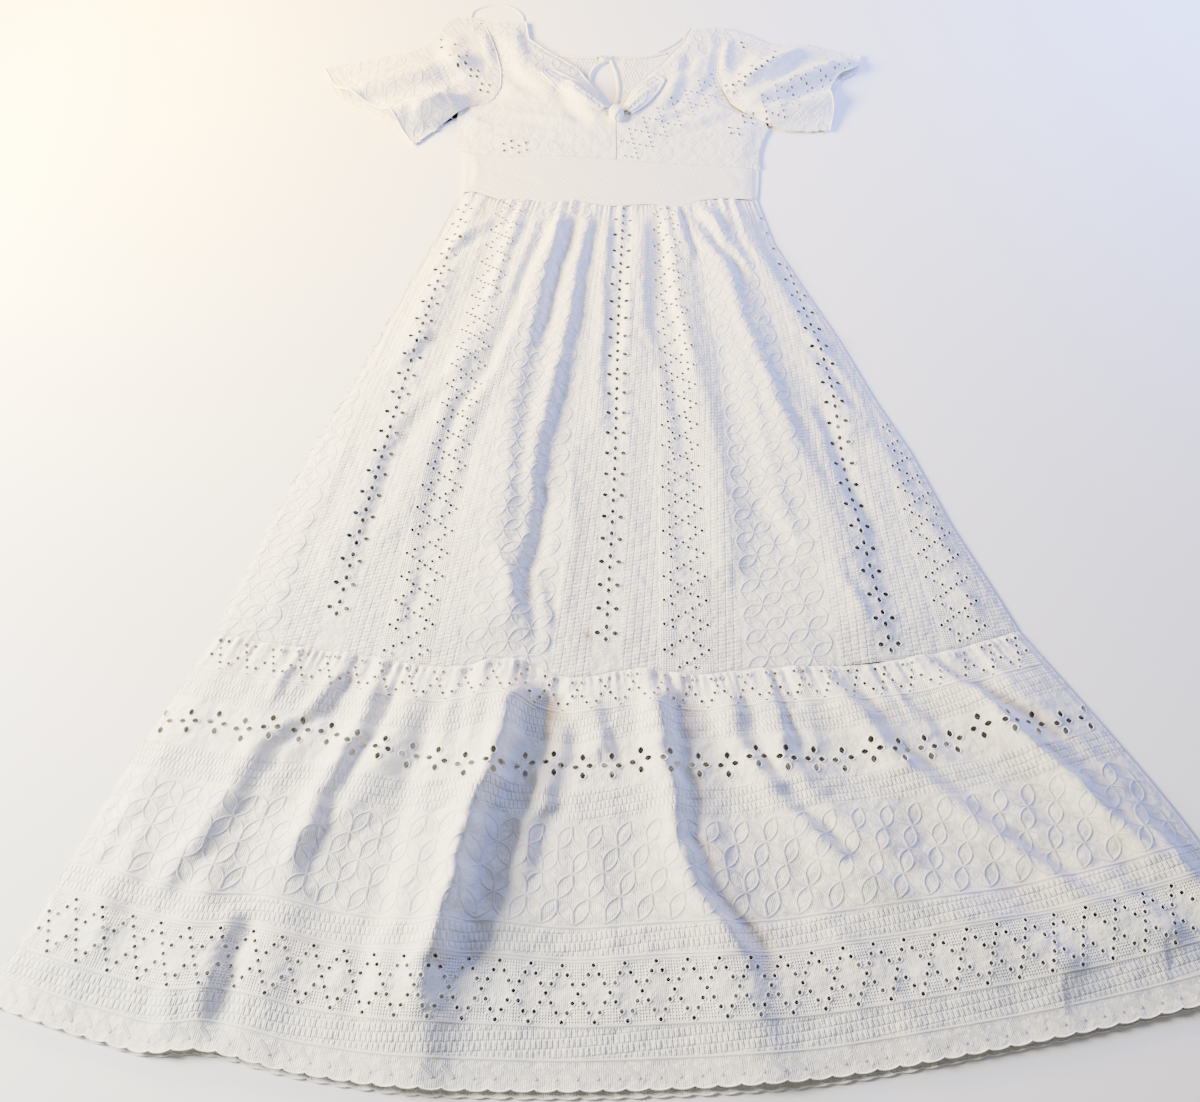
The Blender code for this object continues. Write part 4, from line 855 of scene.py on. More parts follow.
class Cloth:
    """A sheet's grid of points in millimetres, with its place in the weave and its holes."""

    def __init__(self, x, y, z, along, across):
        self.x = np.array(x, float)
        self.y = np.array(y, float)
        self.z = np.array(z, float)
        self.along = along
        self.across = across
        self.masks = {}
        self.gone = np.zeros(self.x.shape, bool)
        self.moved = np.zeros(self.x.shape, bool)
        self.rims = []
        xi, xj = np.gradient(self.x)
        yi, yj = np.gradient(self.y)
        zi, zj = np.gradient(self.z)
        det = xi * yj - xj * yi
        det = np.where(np.abs(det) < 1e-9, 1e-9, det)
        self.slope_x = np.clip((zi * yj - zj * yi) / det, -STEEPEST, STEEPEST)
        self.slope_y = np.clip((xi * zj - xj * zi) / det, -STEEPEST, STEEPEST)
        self.tree = KDTree(self.x.size)
        for i, spot in enumerate(zip(self.x.ravel(), self.y.ravel())):
            self.tree.insert((spot[0], spot[1], 0.0), i)
        self.tree.balance()
        self.flat = np.stack([self.x.ravel(), self.y.ravel(), self.z.ravel()], 1)

    def height_at(self, x, y):
        """The cloth's height and slopes at scattered places."""
        found = np.array([self.tree.find((a, b, 0.0))[1] for a, b in zip(x, y)], int)
        near = self.flat[found]
        slope_x = self.slope_x.ravel()[found]
        slope_y = self.slope_y.ravel()[found]
        z = near[:, 2] + slope_x * (x - near[:, 0]) + slope_y * (y - near[:, 1])
        gap = np.hypot(x - near[:, 0], y - near[:, 1])
        return z, slope_x, slope_y, gap

    def punch(self, holes):
        """Cut rounded diamond eyelets: cells under each go, and their edge is drawn to its outline."""
        for hole in holes:
            for dx, dy in NUDGES:
                if self.cut(hole._replace(x=hole.x + dx, y=hole.y + dy)):
                    break

    def cut(self, hole):
        """Cut one eyelet, unless it would touch another or the sheet's edge."""
        rows, columns = self.x.shape
        _, index, gap = self.tree.find((hole.x, hole.y, 0.0))
        row, column = divmod(index, columns)
        if gap > 4.0 or not (3 <= row < rows - 3 and 3 <= column < columns - 3):
            return False
        cos, sin = math.cos(hole.angle), math.sin(hole.angle)

        def reach(dx, dy):
            """How far out a place lies, 1 on the eyelet's edge."""
            a = abs(dx * cos + dy * sin) / hole.along
            b = abs(dy * cos - dx * sin) / hole.across
            return (a**1.5 + b**1.5) ** (1.0 / 1.5)

        inside = {(row, column)}
        for spot, other, _ in self.tree.find_range((hole.x, hole.y, 0.0), 1.2 * hole.across):
            if reach(spot[0] - hole.x, spot[1] - hole.y) < 0.93:
                inside.add(divmod(other, columns))
        ring = {(r + i, c + j) for r, c in inside for i in (-1, 0, 1) for j in (-1, 0, 1)} - inside
        if not all(0 <= r < rows and 0 <= c < columns for r, c in ring):
            return False
        if any(self.gone[spot] or self.moved[spot] for spot in ring | inside):
            return False
        sx, sy = self.slope_x[row, column], self.slope_y[row, column]
        base = self.z[row, column] + sx * (hole.x - self.x[row, column])
        base = base + sy * (hole.y - self.y[row, column])
        for spot in inside:
            self.gone[spot] = True
        for spot in ring:
            self.moved[spot] = True
            dx, dy = self.x[spot] - hole.x, self.y[spot] - hole.y
            k = 1.0 / reach(dx, dy)
            self.z[spot] += (self.slope_x[spot] * dx + self.slope_y[spot] * dy) * (k - 1)
            self.x[spot] = hole.x + dx * k
            self.y[spot] = hole.y + dy * k
        self.rims.append((hole, base, sx, sy))
        return True

    def mask(self, name, values):
        """A painted amount of one stitch, from 0 to 1, at each point."""
        self.masks[name] = values


def smooth_faces(mesh):
    """Shade a mesh as one soft surface."""
    mesh.polygons.foreach_set("use_smooth", np.ones(len(mesh.polygons), bool))


def to_metres(points):
    """Table millimetres to the frame's metres."""
    return (np.asarray(points, float) - (PLAN_CENTRE.x, PLAN_CENTRE.y, 0.0)) * MM


def quads(rows, columns, first=0, closed=False):
    """Faces between rows of points, joined round where the rows are closed."""
    faces = []
    for row in range(rows - 1):
        low = first + row * columns
        for i in range(columns if closed else columns - 1):
            j = (i + 1) % columns
            faces.append((low + i, low + j, low + columns + j, low + columns + i))
    return faces


def new_piece(name, points, faces, material, replaces=()):
    """A named mesh object that rides on the frame."""
    mesh = bpy.data.meshes.new(name)
    mesh.from_pydata(to_metres(points).tolist(), [], faces)
    mesh.materials.append(material)
    smooth_faces(mesh)
    item = bpy.data.objects.new(name, mesh)
    bpy.context.scene.collection.objects.link(item)
    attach(item, BODY)
    if replaces:
        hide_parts(*replaces)
    return item


def lay_weave(mesh, along, across):
    """Lay a mesh's map along the weave, from millimetres at its points."""
    loops = np.zeros(len(mesh.loops), int)
    mesh.loops.foreach_get("vertex_index", loops)
    weave = np.stack([along, across], 1) * MM
    layer = mesh.uv_layers.new(name="weave")
    layer.data.foreach_set("uv", weave[loops].astype(np.float32).ravel())


def paint(mesh, name, values):
    """Give a mesh's points an amount that its material reads."""
    mesh.attributes.new(name, "FLOAT", "POINT").data.foreach_set("value", values)


def cloth_object(node, cloth, plain=False, flip=False):
    """Turn a Cloth into the mesh that a node shows, leaving out its eyelets."""
    rows, columns = cloth.x.shape
    index = np.arange(rows * columns).reshape(rows, columns)
    a, b = index[:-1, :-1], index[:-1, 1:]
    c, d = index[1:, 1:], index[1:, :-1]
    gone = cloth.gone
    whole = ~(gone[:-1, :-1] | gone[:-1, 1:] | gone[1:, 1:] | gone[1:, :-1])
    corners = (a, b, c, d) if flip else (a, d, c, b)
    faces = np.stack([corner[whole] for corner in corners], 1)
    used = np.unique(faces)
    renumber = np.zeros(rows * columns, int)
    renumber[used] = np.arange(len(used))
    points = np.stack([cloth.x.ravel(), cloth.y.ravel(), cloth.z.ravel()], 1)[used]
    faces = renumber[faces]
    material = plain_cloth() if plain else eyelet_cloth()
    item = new_piece(node + "_cloth", points, faces.tolist(), material, [node])
    lay_weave(item.data, cloth.along.ravel()[used], cloth.across.ravel()[used])
    for mask, values in cloth.masks.items():
        paint(item.data, mask, values.ravel()[used].astype(np.float32))
    return item


def rim_mesh(cloth, points, faces, sign):
    """Stitched rims round a cloth's eyelets, added to a list of points and faces."""
    for hole, base, sx, sy in cloth.rims:
        steps = 12 if hole.across > 2.0 else 8
        angle = np.linspace(0.0, 2.0 * math.pi, steps, endpoint=False)
        a, b = np.cos(angle), np.sin(angle)
        k = (np.abs(a) ** 1.5 + np.abs(b) ** 1.5) ** (-1.0 / 1.5)
        first = len(points)
        profile = ((-0.12, -0.15), (0.35 * RIM_WIDTH, RIM_HEIGHT), (RIM_WIDTH, -0.05))
        for grow, rise in profile:
            u = a * k * (hole.along + grow)
            v = b * k * (hole.across + grow)
            dx = u * math.cos(hole.angle) - v * math.sin(hole.angle)
            dy = u * math.sin(hole.angle) + v * math.cos(hole.angle)
            z = np.maximum(base + sx * dx + sy * dy + sign * rise, LOWEST_STITCH)
            points.extend(zip(hole.x + dx, hole.y + dy, z))
        ring = quads(len(profile), steps, first, closed=True)
        faces.extend(ring if sign > 0 else [quad[::-1] for quad in ring])


def cord_mesh(cloth, paths, points, faces, shades, wide, high, sign=1.0):
    """Raised cords that follow the cloth, with painted shade along their flanks for the groove that
    their stitches pull beside them.
    """
    # Each step across a cord: offset, rise, and how much painted shade darkens the thread there
    profile = ((-0.5, 0.12, 1.0), (0.0, high, 0.0), (0.5, 0.12, 1.0))
    if sign > 0:
        profile = ((-0.95, 0.10, 0.0),) + profile + ((0.95, 0.10, 0.0),)
    for path in paths:
        path = np.asarray(path, float)
        z, sx, sy, gap = cloth.height_at(path[:, 0], path[:, 1])
        runs = np.split(np.arange(len(path)), np.nonzero(np.diff(gap < 2.5))[0] + 1)
        for run in runs:
            if len(run) < 2 or gap[run[0]] >= 2.5:
                continue
            spots = path[run]
            ahead = np.gradient(spots, axis=0)
            ahead /= np.maximum(np.hypot(ahead[:, 0], ahead[:, 1]), 1e-9)[:, None]
            aside = np.stack([-ahead[:, 1], ahead[:, 0]], 1)
            first = len(points)
            for offset, rise, shade in profile:
                shift = aside * offset * wide
                level = z[run] + sx[run] * shift[:, 0] + sy[run] * shift[:, 1] + sign * rise
                level = np.maximum(level, LOWEST_STITCH)
                points.extend(zip(spots[:, 0] + shift[:, 0], spots[:, 1] + shift[:, 1], level))
                shades.extend([shade] * len(run))
            strip = quads(len(profile), len(run), first)
            faces.extend([quad[::-1] for quad in strip] if sign > 0 else strip)


def roll(points, faces, path, radius, sides=6):
    """A round cord or rolled edge along a list of places, with closed ends."""
    path = np.asarray(path, float)
    ahead = np.gradient(path, axis=0)
    ahead /= np.maximum(np.linalg.norm(ahead, axis=1), 1e-9)[:, None]
    aside = np.cross(ahead, (0.0, 0.0, 1.0))
    aside /= np.maximum(np.linalg.norm(aside, axis=1), 1e-9)[:, None]
    above = np.cross(aside, ahead)
    radius = np.broadcast_to(radius, len(path))
    first = len(points)
    for i, spot in enumerate(path):
        for k in range(sides):
            angle = 2.0 * math.pi * k / sides
            offset = aside[i] * math.cos(angle) + above[i] * math.sin(angle)
            points.append(tuple(spot + offset * radius[i]))
    faces.extend(quads(len(path), sides, first, closed=True))
    last = first + (len(path) - 1) * sides
    faces.append(tuple(first + k for k in reversed(range(sides))))
    faces.append(tuple(last + k for k in range(sides)))


def embroidery(name, cloth, paths, sign=1.0, rolls=()):
    """One object with a sheet's eyelet rims, corded outlines and rolled edges."""
    points, faces = [], []
    wide = settings().cord / MM
    rim_mesh(cloth, points, faces, sign)
    shades = [0.0] * len(points)
    cord_mesh(cloth, paths, points, faces, shades, wide, CORD_RISE * wide, sign)
    for path, radius in rolls:
        roll(points, faces, path, radius)
    shades.extend([0.0] * (len(points) - len(shades)))
    item = new_piece(name, np.array(points), faces, thread())
    # Painted shade on the cords' flanks, read by the thread's material
    paint(item.data, "cord_flank_shade", shades)
    return item


def settings():
    """The dress's properties."""
    return bpy.context.scene.maxi_dress


# Embroidery patterns: places are (along, across) in the cloth's own millimetres


def trellis_holes(start, end, near, far, pitch):
    """Eyelets along the crossing diagonals of a trellis, and its diamonds' corners."""
    spots = []
    middle = (near + far) / 2.0
    count = int((end - start) // pitch)
    for i in range(count + 1):
        t = start + i * pitch
        spots += [(t, near), (t, far), (t + pitch / 2.0, middle)]
        for share in (1 / 3, 2 / 3):
            for side in (near, far):
                across = side + (middle - side) * share
                spots.append((t + share * pitch / 2.0, across))
                spots.append((t - share * pitch / 2.0, across))
    return spots


def petal_paths(start, end, near, far, pitch, rows):
    """Overlapping rings: pairs of arcs that make pointed leaves between staggered nodes."""
    step = (far - near) / rows
    paths = []
    count = int((end - start) // pitch)
    for row in range(rows):
        shift = 0.5 * (row % 2)
        for i in range(count + 1):
            for way in (-0.5, 0.5):
                a = np.array([start + (i + shift) * pitch, near + row * step])
                b = np.array([start + (i + shift + way) * pitch, near + (row + 1) * step])
                across = np.array([-(b - a)[1], (b - a)[0]])
                s = np.linspace(0.0, 1.0, 9)
                for bow in (-0.23, 0.23):
                    arc = a + (b - a) * s[:, None] + across * (bow * 4.0 * s * (1.0 - s))[:, None]
                    paths.append(arc)
    return paths


def scroll_paths(start, end, across, height, pitch):
    """A row of small leaning leaves, as on the border above the hem."""
    paths = []
    for i in range(int((end - start) // pitch)):
        t = start + i * pitch
        s = np.linspace(0.0, 1.0, 8)
        for bow in (-8.0, 8.0):
            arc_t = t + s * pitch * 0.55 + bow * np.sin(math.pi * s) * 0.55
            arc_c = across + (s - 0.5) * height + bow * np.sin(math.pi * s) * 0.35
            paths.append(np.stack([arc_t, arc_c], 1))
    return paths


def inside_bands(values, bands, soft=2.0):
    """1 inside any of the bands, 0 outside them."""
    amount = np.zeros_like(values)
    for band in bands:
        into = np.minimum(values - band.start, band.end - values)
        amount = np.maximum(amount, ease(-soft / 2.0, soft / 2.0, into))
    return amount


def trellis_grid(along, across, near, far, pitch, margin):
    """1 in the triangles between a trellis's diamonds and its edges, where it is grid-stitched."""
    middle = (near + far) / 2.0
    half = (far - near) / 2.0
    t = np.abs(((along / pitch + 0.5) % 1.0) - 0.5) * 2.0
    c = np.abs(across - middle) / half
    outside = ease(-0.15, 0.15, c + t - 1.0)
    low = ease(-margin - 1.0, -margin + 1.0, across - near)
    high = ease(-margin - 1.0, -margin + 1.0, far - across)
    return outside * low * high


def skirt_lines(y):
    """Where the three lines of clusters cross a height of the skirt."""
    lines = []
    for line in SKIRT_BANDS:
        x_line, y_line = curve(line, np.linspace(0.0, 1.0, 40))
        order = np.argsort(y_line)
        x_line, y_line = x_line[order], y_line[order]
        x = np.interp(y, y_line, x_line)
        low = (x_line[3] - x_line[0]) / (y_line[3] - y_line[0])
        high = (x_line[-1] - x_line[-4]) / (y_line[-1] - y_line[-4])
        x = x + np.where(y < y_line[0], (y - y_line[0]) * low, 0.0)
        x = x + np.where(y > y_line[-1], (y - y_line[-1]) * high, 0.0)
        lines.append(x)
    return lines


def skirt_weave(x, y):
    """The skirt's cloth coordinates: along its stripes, and across them."""
    left, middle, right = skirt_lines(y)
    across = np.where(x < middle, (x - middle) / (middle - left), (x - middle) / (right - middle))
    return SKIRT_TOP - y, across * REPEAT


def skirt_unweave(along, across):
    """Places on the skirt from its cloth coordinates."""
    y = SKIRT_TOP - np.asarray(along, float)
    left, middle, right = skirt_lines(y)
    share = np.asarray(across, float) / REPEAT
    return middle + np.where(share < 0, share * (middle - left), share * (right - middle)), y


def cluster_holes(line, large):
    """Eyelets in clusters strung along a line at an even pitch."""
    length = sum(math.dist(a, b) for a, b in zip(line, line[1:]))
    holes = []
    for i in range(int(length // CLUSTER_PITCH) + 1):
        t = i * CLUSTER_PITCH / length
        x, y = curve(line, np.array([t, t + 0.01, max(t - 0.01, 0.0)]))
        ahead = np.array([x[1] - x[2], y[1] - y[2]])
        ahead /= np.hypot(*ahead)
        angle = math.atan2(ahead[1], ahead[0])
        for along, across, long, wide in CLUSTER_OFFSETS:
            place_x = x[0] + ahead[0] * along - ahead[1] * across
            place_y = y[0] + ahead[1] * along + ahead[0] * across
            holes.append(Hole(place_x, place_y, angle, large * long, large * wide))
    return holes


def upward(line):
    """A cluster line carried on to the waist at the same pitch."""
    steps = int((CLUSTERS_END - line[0].y) // CLUSTER_PITCH)
    if steps < 1:
        return ()
    slope = (line[1].x - line[0].x) / (line[1].y - line[0].y)
    near = Spot(line[0].x + slope * CLUSTER_PITCH, line[0].y + CLUSTER_PITCH)
    rise = (steps - 1) * CLUSTER_PITCH + 1.0
    return near, Spot(near.x + slope * rise, near.y + rise)


class Weave:
    """The stripes' direction on a small panel: an origin on a cluster line, and the way along it."""

    def __init__(self, origin, toward, squeeze=1.0):
        way = np.array([toward[0] - origin[0], toward[1] - origin[1]], float)
        self.way = way / np.hypot(*way)
        self.out = np.array([-self.way[1], self.way[0]]) * squeeze
        self.origin = origin

    def to_cloth(self, x, y):
        """Cloth coordinates of places."""
        dx, dy = x - self.origin[0], y - self.origin[1]
        size = self.out @ self.out
        return dx * self.way[0] + dy * self.way[1], (dx * self.out[0] + dy * self.out[1]) / size

    def to_place(self, along, across):
        """Places of cloth coordinates."""
        along, across = np.asarray(along, float), np.asarray(across, float)
        x = self.origin[0] + self.way[0] * along + self.out[0] * across
        return x, self.origin[1] + self.way[1] * along + self.out[1] * across


def cluster_group(spots, way, large):
    """Eyelets of single clusters at known places, their diamond pointing along the cloth."""
    angle = math.atan2(way[1], way[0])
    holes = []
    for spot in spots:
        for along, across, long, wide in CLUSTER_OFFSETS:
            x = spot[0] + way[0] * along - way[1] * across
            y = spot[1] + way[1] * along + way[0] * across
            holes.append(Hole(x, y, angle, large * long, large * wide))
    return holes


def stripes(cloth, unweave, reach, repeats, depth=1.0):
    """Small eyelets and corded paths of the stripes between the lines of clusters."""
    small = settings().small_eyelet / MM
    holes = []
    paths = []
    for k in repeats:
        base = k * REPEAT
        near = STRIPE_TRELLIS.start + base + TRELLIS_INSET
        far = STRIPE_TRELLIS.end + base - TRELLIS_INSET
        t, c = np.array(trellis_holes(reach.start, reach.end, near, far, TRELLIS_PITCH)).T
        x, y = unweave(t, c)
        holes += [Hole(a, b, 0.0, small, small) for a, b in zip(x, y)]
        near, far = STRIPE_PETALS.start + base, STRIPE_PETALS.end + base
        for path in petal_paths(reach.start, reach.end, near, far, PETAL_PITCH, PETAL_ROWS):
            paths.append(np.stack(unweave(path[:, 0], path[:, 1]), 1))
    repeat = np.mod(cloth.across, REPEAT)
    cloth.mask("dashes", depth * inside_bands(repeat, STRIPE_DASHES, 2.0 / depth))
    near, far = STRIPE_TRELLIS.start + TRELLIS_INSET, STRIPE_TRELLIS.end - TRELLIS_INSET
    sewn = trellis_grid(cloth.along - reach.start, repeat, near, far, TRELLIS_PITCH, 4.0)
    cloth.mask("grid", depth * sewn)
    return holes, paths


def skirt_pattern(cloth):
    """Eyelets, corded paths and stitch masks of the skirt."""
    large = settings().eyelet / MM
    holes = []
    for line in SKIRT_BANDS:
        holes += cluster_holes(line, large)
        more = upward(line)
        if more:
            holes += cluster_holes(more, large * SMALLER_CLUSTER)
    more, paths = stripes(cloth, skirt_unweave, SKIRT_REACH, (-2, -1, 0, 1))
    cloth.punch(holes + more)
    return paths


def ruffle_pattern(cloth, place):
    """Eyelets, corded paths and stitch masks of the ruffle; place maps u, v to x, y."""
    large = settings().eyelet / MM
    small = settings().small_eyelet / MM
    holes = [
        hole._replace(y=hole.y + 2.5 * math.sin(0.062 * hole.x + 0.9) + 1.2 * math.sin(0.13 * hole.x))
        for hole in cluster_holes(RUFFLE_BAND, large * 1.1)
    ]
    paths = []

    def spread(spots, count):
        """Places from counted steps along the hem and a depth."""
        t, c = np.asarray(spots, float).T
        keep = (c > 1.0) & (c < RUFFLE_DEPTH - 1.0) & (t > 0.2) & (t < count - 0.2)
        x, y = place(t / count, c / RUFFLE_DEPTH)
        return x[keep], y[keep]

    for band, count in RUFFLE_ROWS:
        x, y = spread(trellis_holes(0.0, count, band.start, band.end, 1.0), count)
        holes += [Hole(a, b, 0.0, small, small) for a, b in zip(x, y)]
    for path, count in ruffle_paths():
        x, y = spread(path, count)
        if len(x) > 2:
            paths.append(np.stack([x, y], 1))
    cloth.punch(holes)
    depth = cloth.across
    cloth.mask("dashes", inside_bands(depth, RUFFLE_DASHES))
    sewn = np.zeros_like(depth)
    for band, count in RUFFLE_ROWS:
        steps = (cloth.along / RUFFLE_WIDTH + 0.5) * count
        sewn = np.maximum(sewn, trellis_grid(steps, depth, band.start, band.end, 1.0, 5.0))
    cloth.mask("grid", sewn)
    return paths


def ruffle_paths():
    """The ruffle's corded outlines in counted steps along the hem, with the count of each."""
    count = RUFFLE_PETAL_COUNT
    scale = RUFFLE_PETALS_LONG / count
    start, end = RUFFLE_PETALS
    rings = petal_paths(0.0, RUFFLE_PETALS_LONG, start, end, scale, PETAL_ROWS)
    found = [(np.stack([p[:, 0] / scale, p[:, 1]], 1), count) for p in rings]
    steps = np.linspace(0.3, count - 0.3, 220)
    for depth in RUFFLE_CORDS:
        found.append((np.stack([steps, np.full_like(steps, depth)], 1), count))
    for p in scroll_paths(0.0, LEAF_COUNT * LEAF_PITCH, LEAF_DEPTH, LEAF_HEIGHT, LEAF_PITCH):
        found.append((np.stack([p[:, 0] / LEAF_PITCH, p[:, 1]], 1), LEAF_COUNT))
    return found


# Materials


def add_node(tree, kind, inputs=None, **values):
    """A shader node with its settings, and its inputs set or linked."""
    made = tree.nodes.new(kind)
    for key, value in values.items():
        setattr(made, key, value)
    for key, value in (inputs or {}).items():
        if isinstance(value, bpy.types.NodeSocket):
            tree.links.new(value, made.inputs[key])
        else:
            made.inputs[key].default_value = value
    return made


def base_material(name, colour, roughness):
    """A new material with its shader's plain values set."""
    material = bpy.data.materials.new(name)
    material.use_nodes = True
    tree = material.node_tree
    shader = tree.nodes["Principled BSDF"]
    shader.inputs["Base Color"].default_value = colour
    shader.inputs["Roughness"].default_value = roughness
    shader.inputs["IOR"].default_value = 1.5
    shader.inputs["Specular IOR Level"].default_value = 0.25
    return material, tree, shader


def wave_scale(spacing):
    """The wave texture's scale for bands this far apart, in metres."""
    return 2.0 * math.pi / spacing / 20.0


def warmer(colour, shares):
    """A colour with each channel turned down to its share."""
    return tuple(c * k for c, k in zip(colour[:3], shares)) + (1.0,)


def eyelet_jersey(name, colour):
    """Cotton jersey, machine embroidered: matt, soft, with rows of raised stitches.

    The stitches are 4.2 by 7 mm dashes and a 2.3 mm grid, over knit wales drawn at 1.6 mm, which is
    coarser than the real 0.8 mm so that they show. Its crumples are about 9.5 mm apart, and its
    tone drifts over about 110 mm.
    """
    material, tree, shader = base_material(name, colour, 0.88)
    shader.inputs["Sheen Weight"].default_value = 0.12
    shader.inputs["Sheen Roughness"].default_value = 0.6
    place = add_node(tree, "ShaderNodeUVMap", uv_map="weave").outputs["UV"]
    dash_mask = add_node(tree, "ShaderNodeAttribute", attribute_name="dashes").outputs["Fac"]
    grid_mask = add_node(tree, "ShaderNodeAttribute", attribute_name="grid").outputs["Fac"]
    slant = add_node(tree, "ShaderNodeMapping", {"Vector": place, "Rotation": (0.0, 0.0, 0.06)})
    dashes = add_node(
        tree,
        "ShaderNodeTexBrick",
        {
            "Vector": slant.outputs["Vector"],
            "Scale": 1.0,
            "Mortar Size": 0.0014,
            "Mortar Smooth": 1.0,
            "Brick Width": 0.0042,
            "Row Height": 0.0070,
        },
        offset=0.5,
    )
    raised = add_node(tree, "ShaderNodeMath", {0: 1.0, 1: dashes.outputs["Fac"]}, operation="SUBTRACT")
    stitched = add_node(tree, "ShaderNodeMath", {0: dash_mask, 1: 0.42}, operation="MULTIPLY")
    level = {0: raised.outputs[0], 1: stitched.outputs[0]}
    dash = add_node(tree, "ShaderNodeMath", level, operation="MULTIPLY")
    lines = []
    for direction in ("X", "Y"):
        wave = add_node(
            tree,
            "ShaderNodeTexWave",
            {"Vector": place, "Scale": wave_scale(0.0023), "Distortion": 0.0},
            wave_type="BANDS",
            bands_direction=direction,
        )
        lines.append(wave.outputs["Fac"])
    cross = add_node(tree, "ShaderNodeMath", {0: lines[0], 1: lines[1]}, operation="MAXIMUM")
    sewn = add_node(tree, "ShaderNodeMath", {0: grid_mask, 1: 0.6}, operation="MULTIPLY")
    level = {0: cross.outputs[0], 1: sewn.outputs[0]}
    lattice = add_node(tree, "ShaderNodeMath", level, operation="MULTIPLY")
    wales = add_node(
        tree,
        "ShaderNodeTexWave",
        {"Vector": place, "Scale": wave_scale(0.0016), "Distortion": 1.5, "Detail": 1.0},
        wave_type="BANDS",
        bands_direction="X",
    )
    crumple = add_node(tree, "ShaderNodeTexNoise", {"Vector": place, "Scale": 105.0, "Detail": 4.0})
    fine = add_node(tree, "ShaderNodeMath", {0: wales.outputs["Fac"], 1: 0.12}, operation="MULTIPLY")
    uneven = add_node(tree, "ShaderNodeMath", {0: crumple.outputs["Fac"], 1: 2.2}, operation="MULTIPLY")
    height = dash
    for more in (lattice, fine, uneven):
        level = {0: height.outputs[0], 1: more.outputs[0]}
        height = add_node(tree, "ShaderNodeMath", level, operation="ADD")
    relief = {"Height": height.outputs[0], "Strength": 1.0, "Distance": 0.0010}
    bump = add_node(tree, "ShaderNodeBump", relief)
    tree.links.new(bump.outputs["Normal"], shader.inputs["Normal"])
    drift = add_node(tree, "ShaderNodeTexNoise", {"Vector": place, "Scale": 9.0, "Detail": 2.0})
    pair = {"Factor": drift.outputs["Fac"], "A": colour, "B": warmer(colour, (0.985, 0.965, 0.90))}
    tint = add_node(tree, "ShaderNodeMix", pair, data_type="RGBA")
    stain = add_node(tree, "ShaderNodeAttribute", attribute_name="stain").outputs["Fac"]
    # Painted shade: the gaps between the raised dashes are turned towards grey, as the shade that falls
    # in them
    level = {0: dash_mask, 1: dashes.outputs["Fac"]}
    dash_gap_shade = add_node(tree, "ShaderNodeMath", level, operation="MULTIPLY")
    faint_gap_shade = add_node(tree, "ShaderNodeMath", {0: dash_gap_shade.outputs[0], 1: 0.45}, operation="MULTIPLY")
    pair = {"Factor": faint_gap_shade.outputs[0], "A": tint.outputs["Result"], "B": linear("#C6C6C4")}
    drawn = add_node(tree, "ShaderNodeMix", pair, data_type="RGBA")
    pair = {"Factor": stain, "A": drawn.outputs["Result"], "B": linear("#8A7448")}
    marked = add_node(tree, "ShaderNodeMix", pair, data_type="RGBA")
    tree.links.new(marked.outputs["Result"], shader.inputs["Base Color"])
    return material


def plain_jersey(name, colour):
    """Plain cotton jersey, knitted and undyed: matt, with fine wales up the cloth.

    The wales are drawn at 3.6 mm, which is coarser than the real 0.8 mm so that they show. Its
    crumples are about 4 mm apart, and its tone drifts over about 70 mm.
    """
    material, tree, shader = base_material(name, colour, 0.9)
    shader.inputs["Sheen Weight"].default_value = 0.12
    place = add_node(tree, "ShaderNodeTexCoord").outputs["Object"]
    wales = add_node(
        tree,
        "ShaderNodeTexWave",
        {"Vector": place, "Scale": wave_scale(0.0036), "Distortion": 6.0, "Detail": 2.0},
        wave_type="BANDS",
        bands_direction="DIAGONAL",
    )
    crumple = add_node(tree, "ShaderNodeTexNoise", {"Vector": place, "Scale": 230.0, "Detail": 3.0})
    level = {0: wales.outputs["Fac"], 1: crumple.outputs["Fac"]}
    height = add_node(tree, "ShaderNodeMath", level, operation="ADD")
    relief = {"Height": height.outputs[0], "Strength": 0.4, "Distance": 0.0004}
    bump = add_node(tree, "ShaderNodeBump", relief)
    tree.links.new(bump.outputs["Normal"], shader.inputs["Normal"])
    drift = add_node(tree, "ShaderNodeTexNoise", {"Vector": place, "Scale": 14.0, "Detail": 2.0})
    pair = {"Factor": drift.outputs["Fac"], "A": colour, "B": warmer(colour, (0.985, 0.965, 0.92))}
    tint = add_node(tree, "ShaderNodeMix", pair, data_type="RGBA")
    tree.links.new(tint.outputs["Result"], shader.inputs["Base Color"])
    return material


def stitch_thread(name, colour):
    """Twisted cotton embroidery thread, satin stitched: a little smoother than the cloth.

    The twist is drawn at about 1 mm, which is coarser than a real thread's so that it shows.
    """
    material, tree, shader = base_material(name, colour, 0.7)
    place = add_node(tree, "ShaderNodeTexCoord").outputs["Object"]
    # Painted shade: the thread turns towards grey on the cords' flanks, as shade in the groove beside
    # the stitches
    cord_flank_shade = add_node(tree, "ShaderNodeAttribute", attribute_name="cord_flank_shade").outputs["Fac"]
    pair = {"Factor": cord_flank_shade, "A": colour, "B": linear("#DAD8D1")}
    tint = add_node(tree, "ShaderNodeMix", pair, data_type="RGBA")
    tree.links.new(tint.outputs["Result"], shader.inputs["Base Color"])
    twist = add_node(tree, "ShaderNodeTexNoise", {"Vector": place, "Scale": 900.0, "Detail": 2.0})
    relief = {"Height": twist.outputs["Fac"], "Strength": 0.4, "Distance": 0.0002}
    bump = add_node(tree, "ShaderNodeBump", relief)
    tree.links.new(bump.outputs["Normal"], shader.inputs["Normal"])
    return material


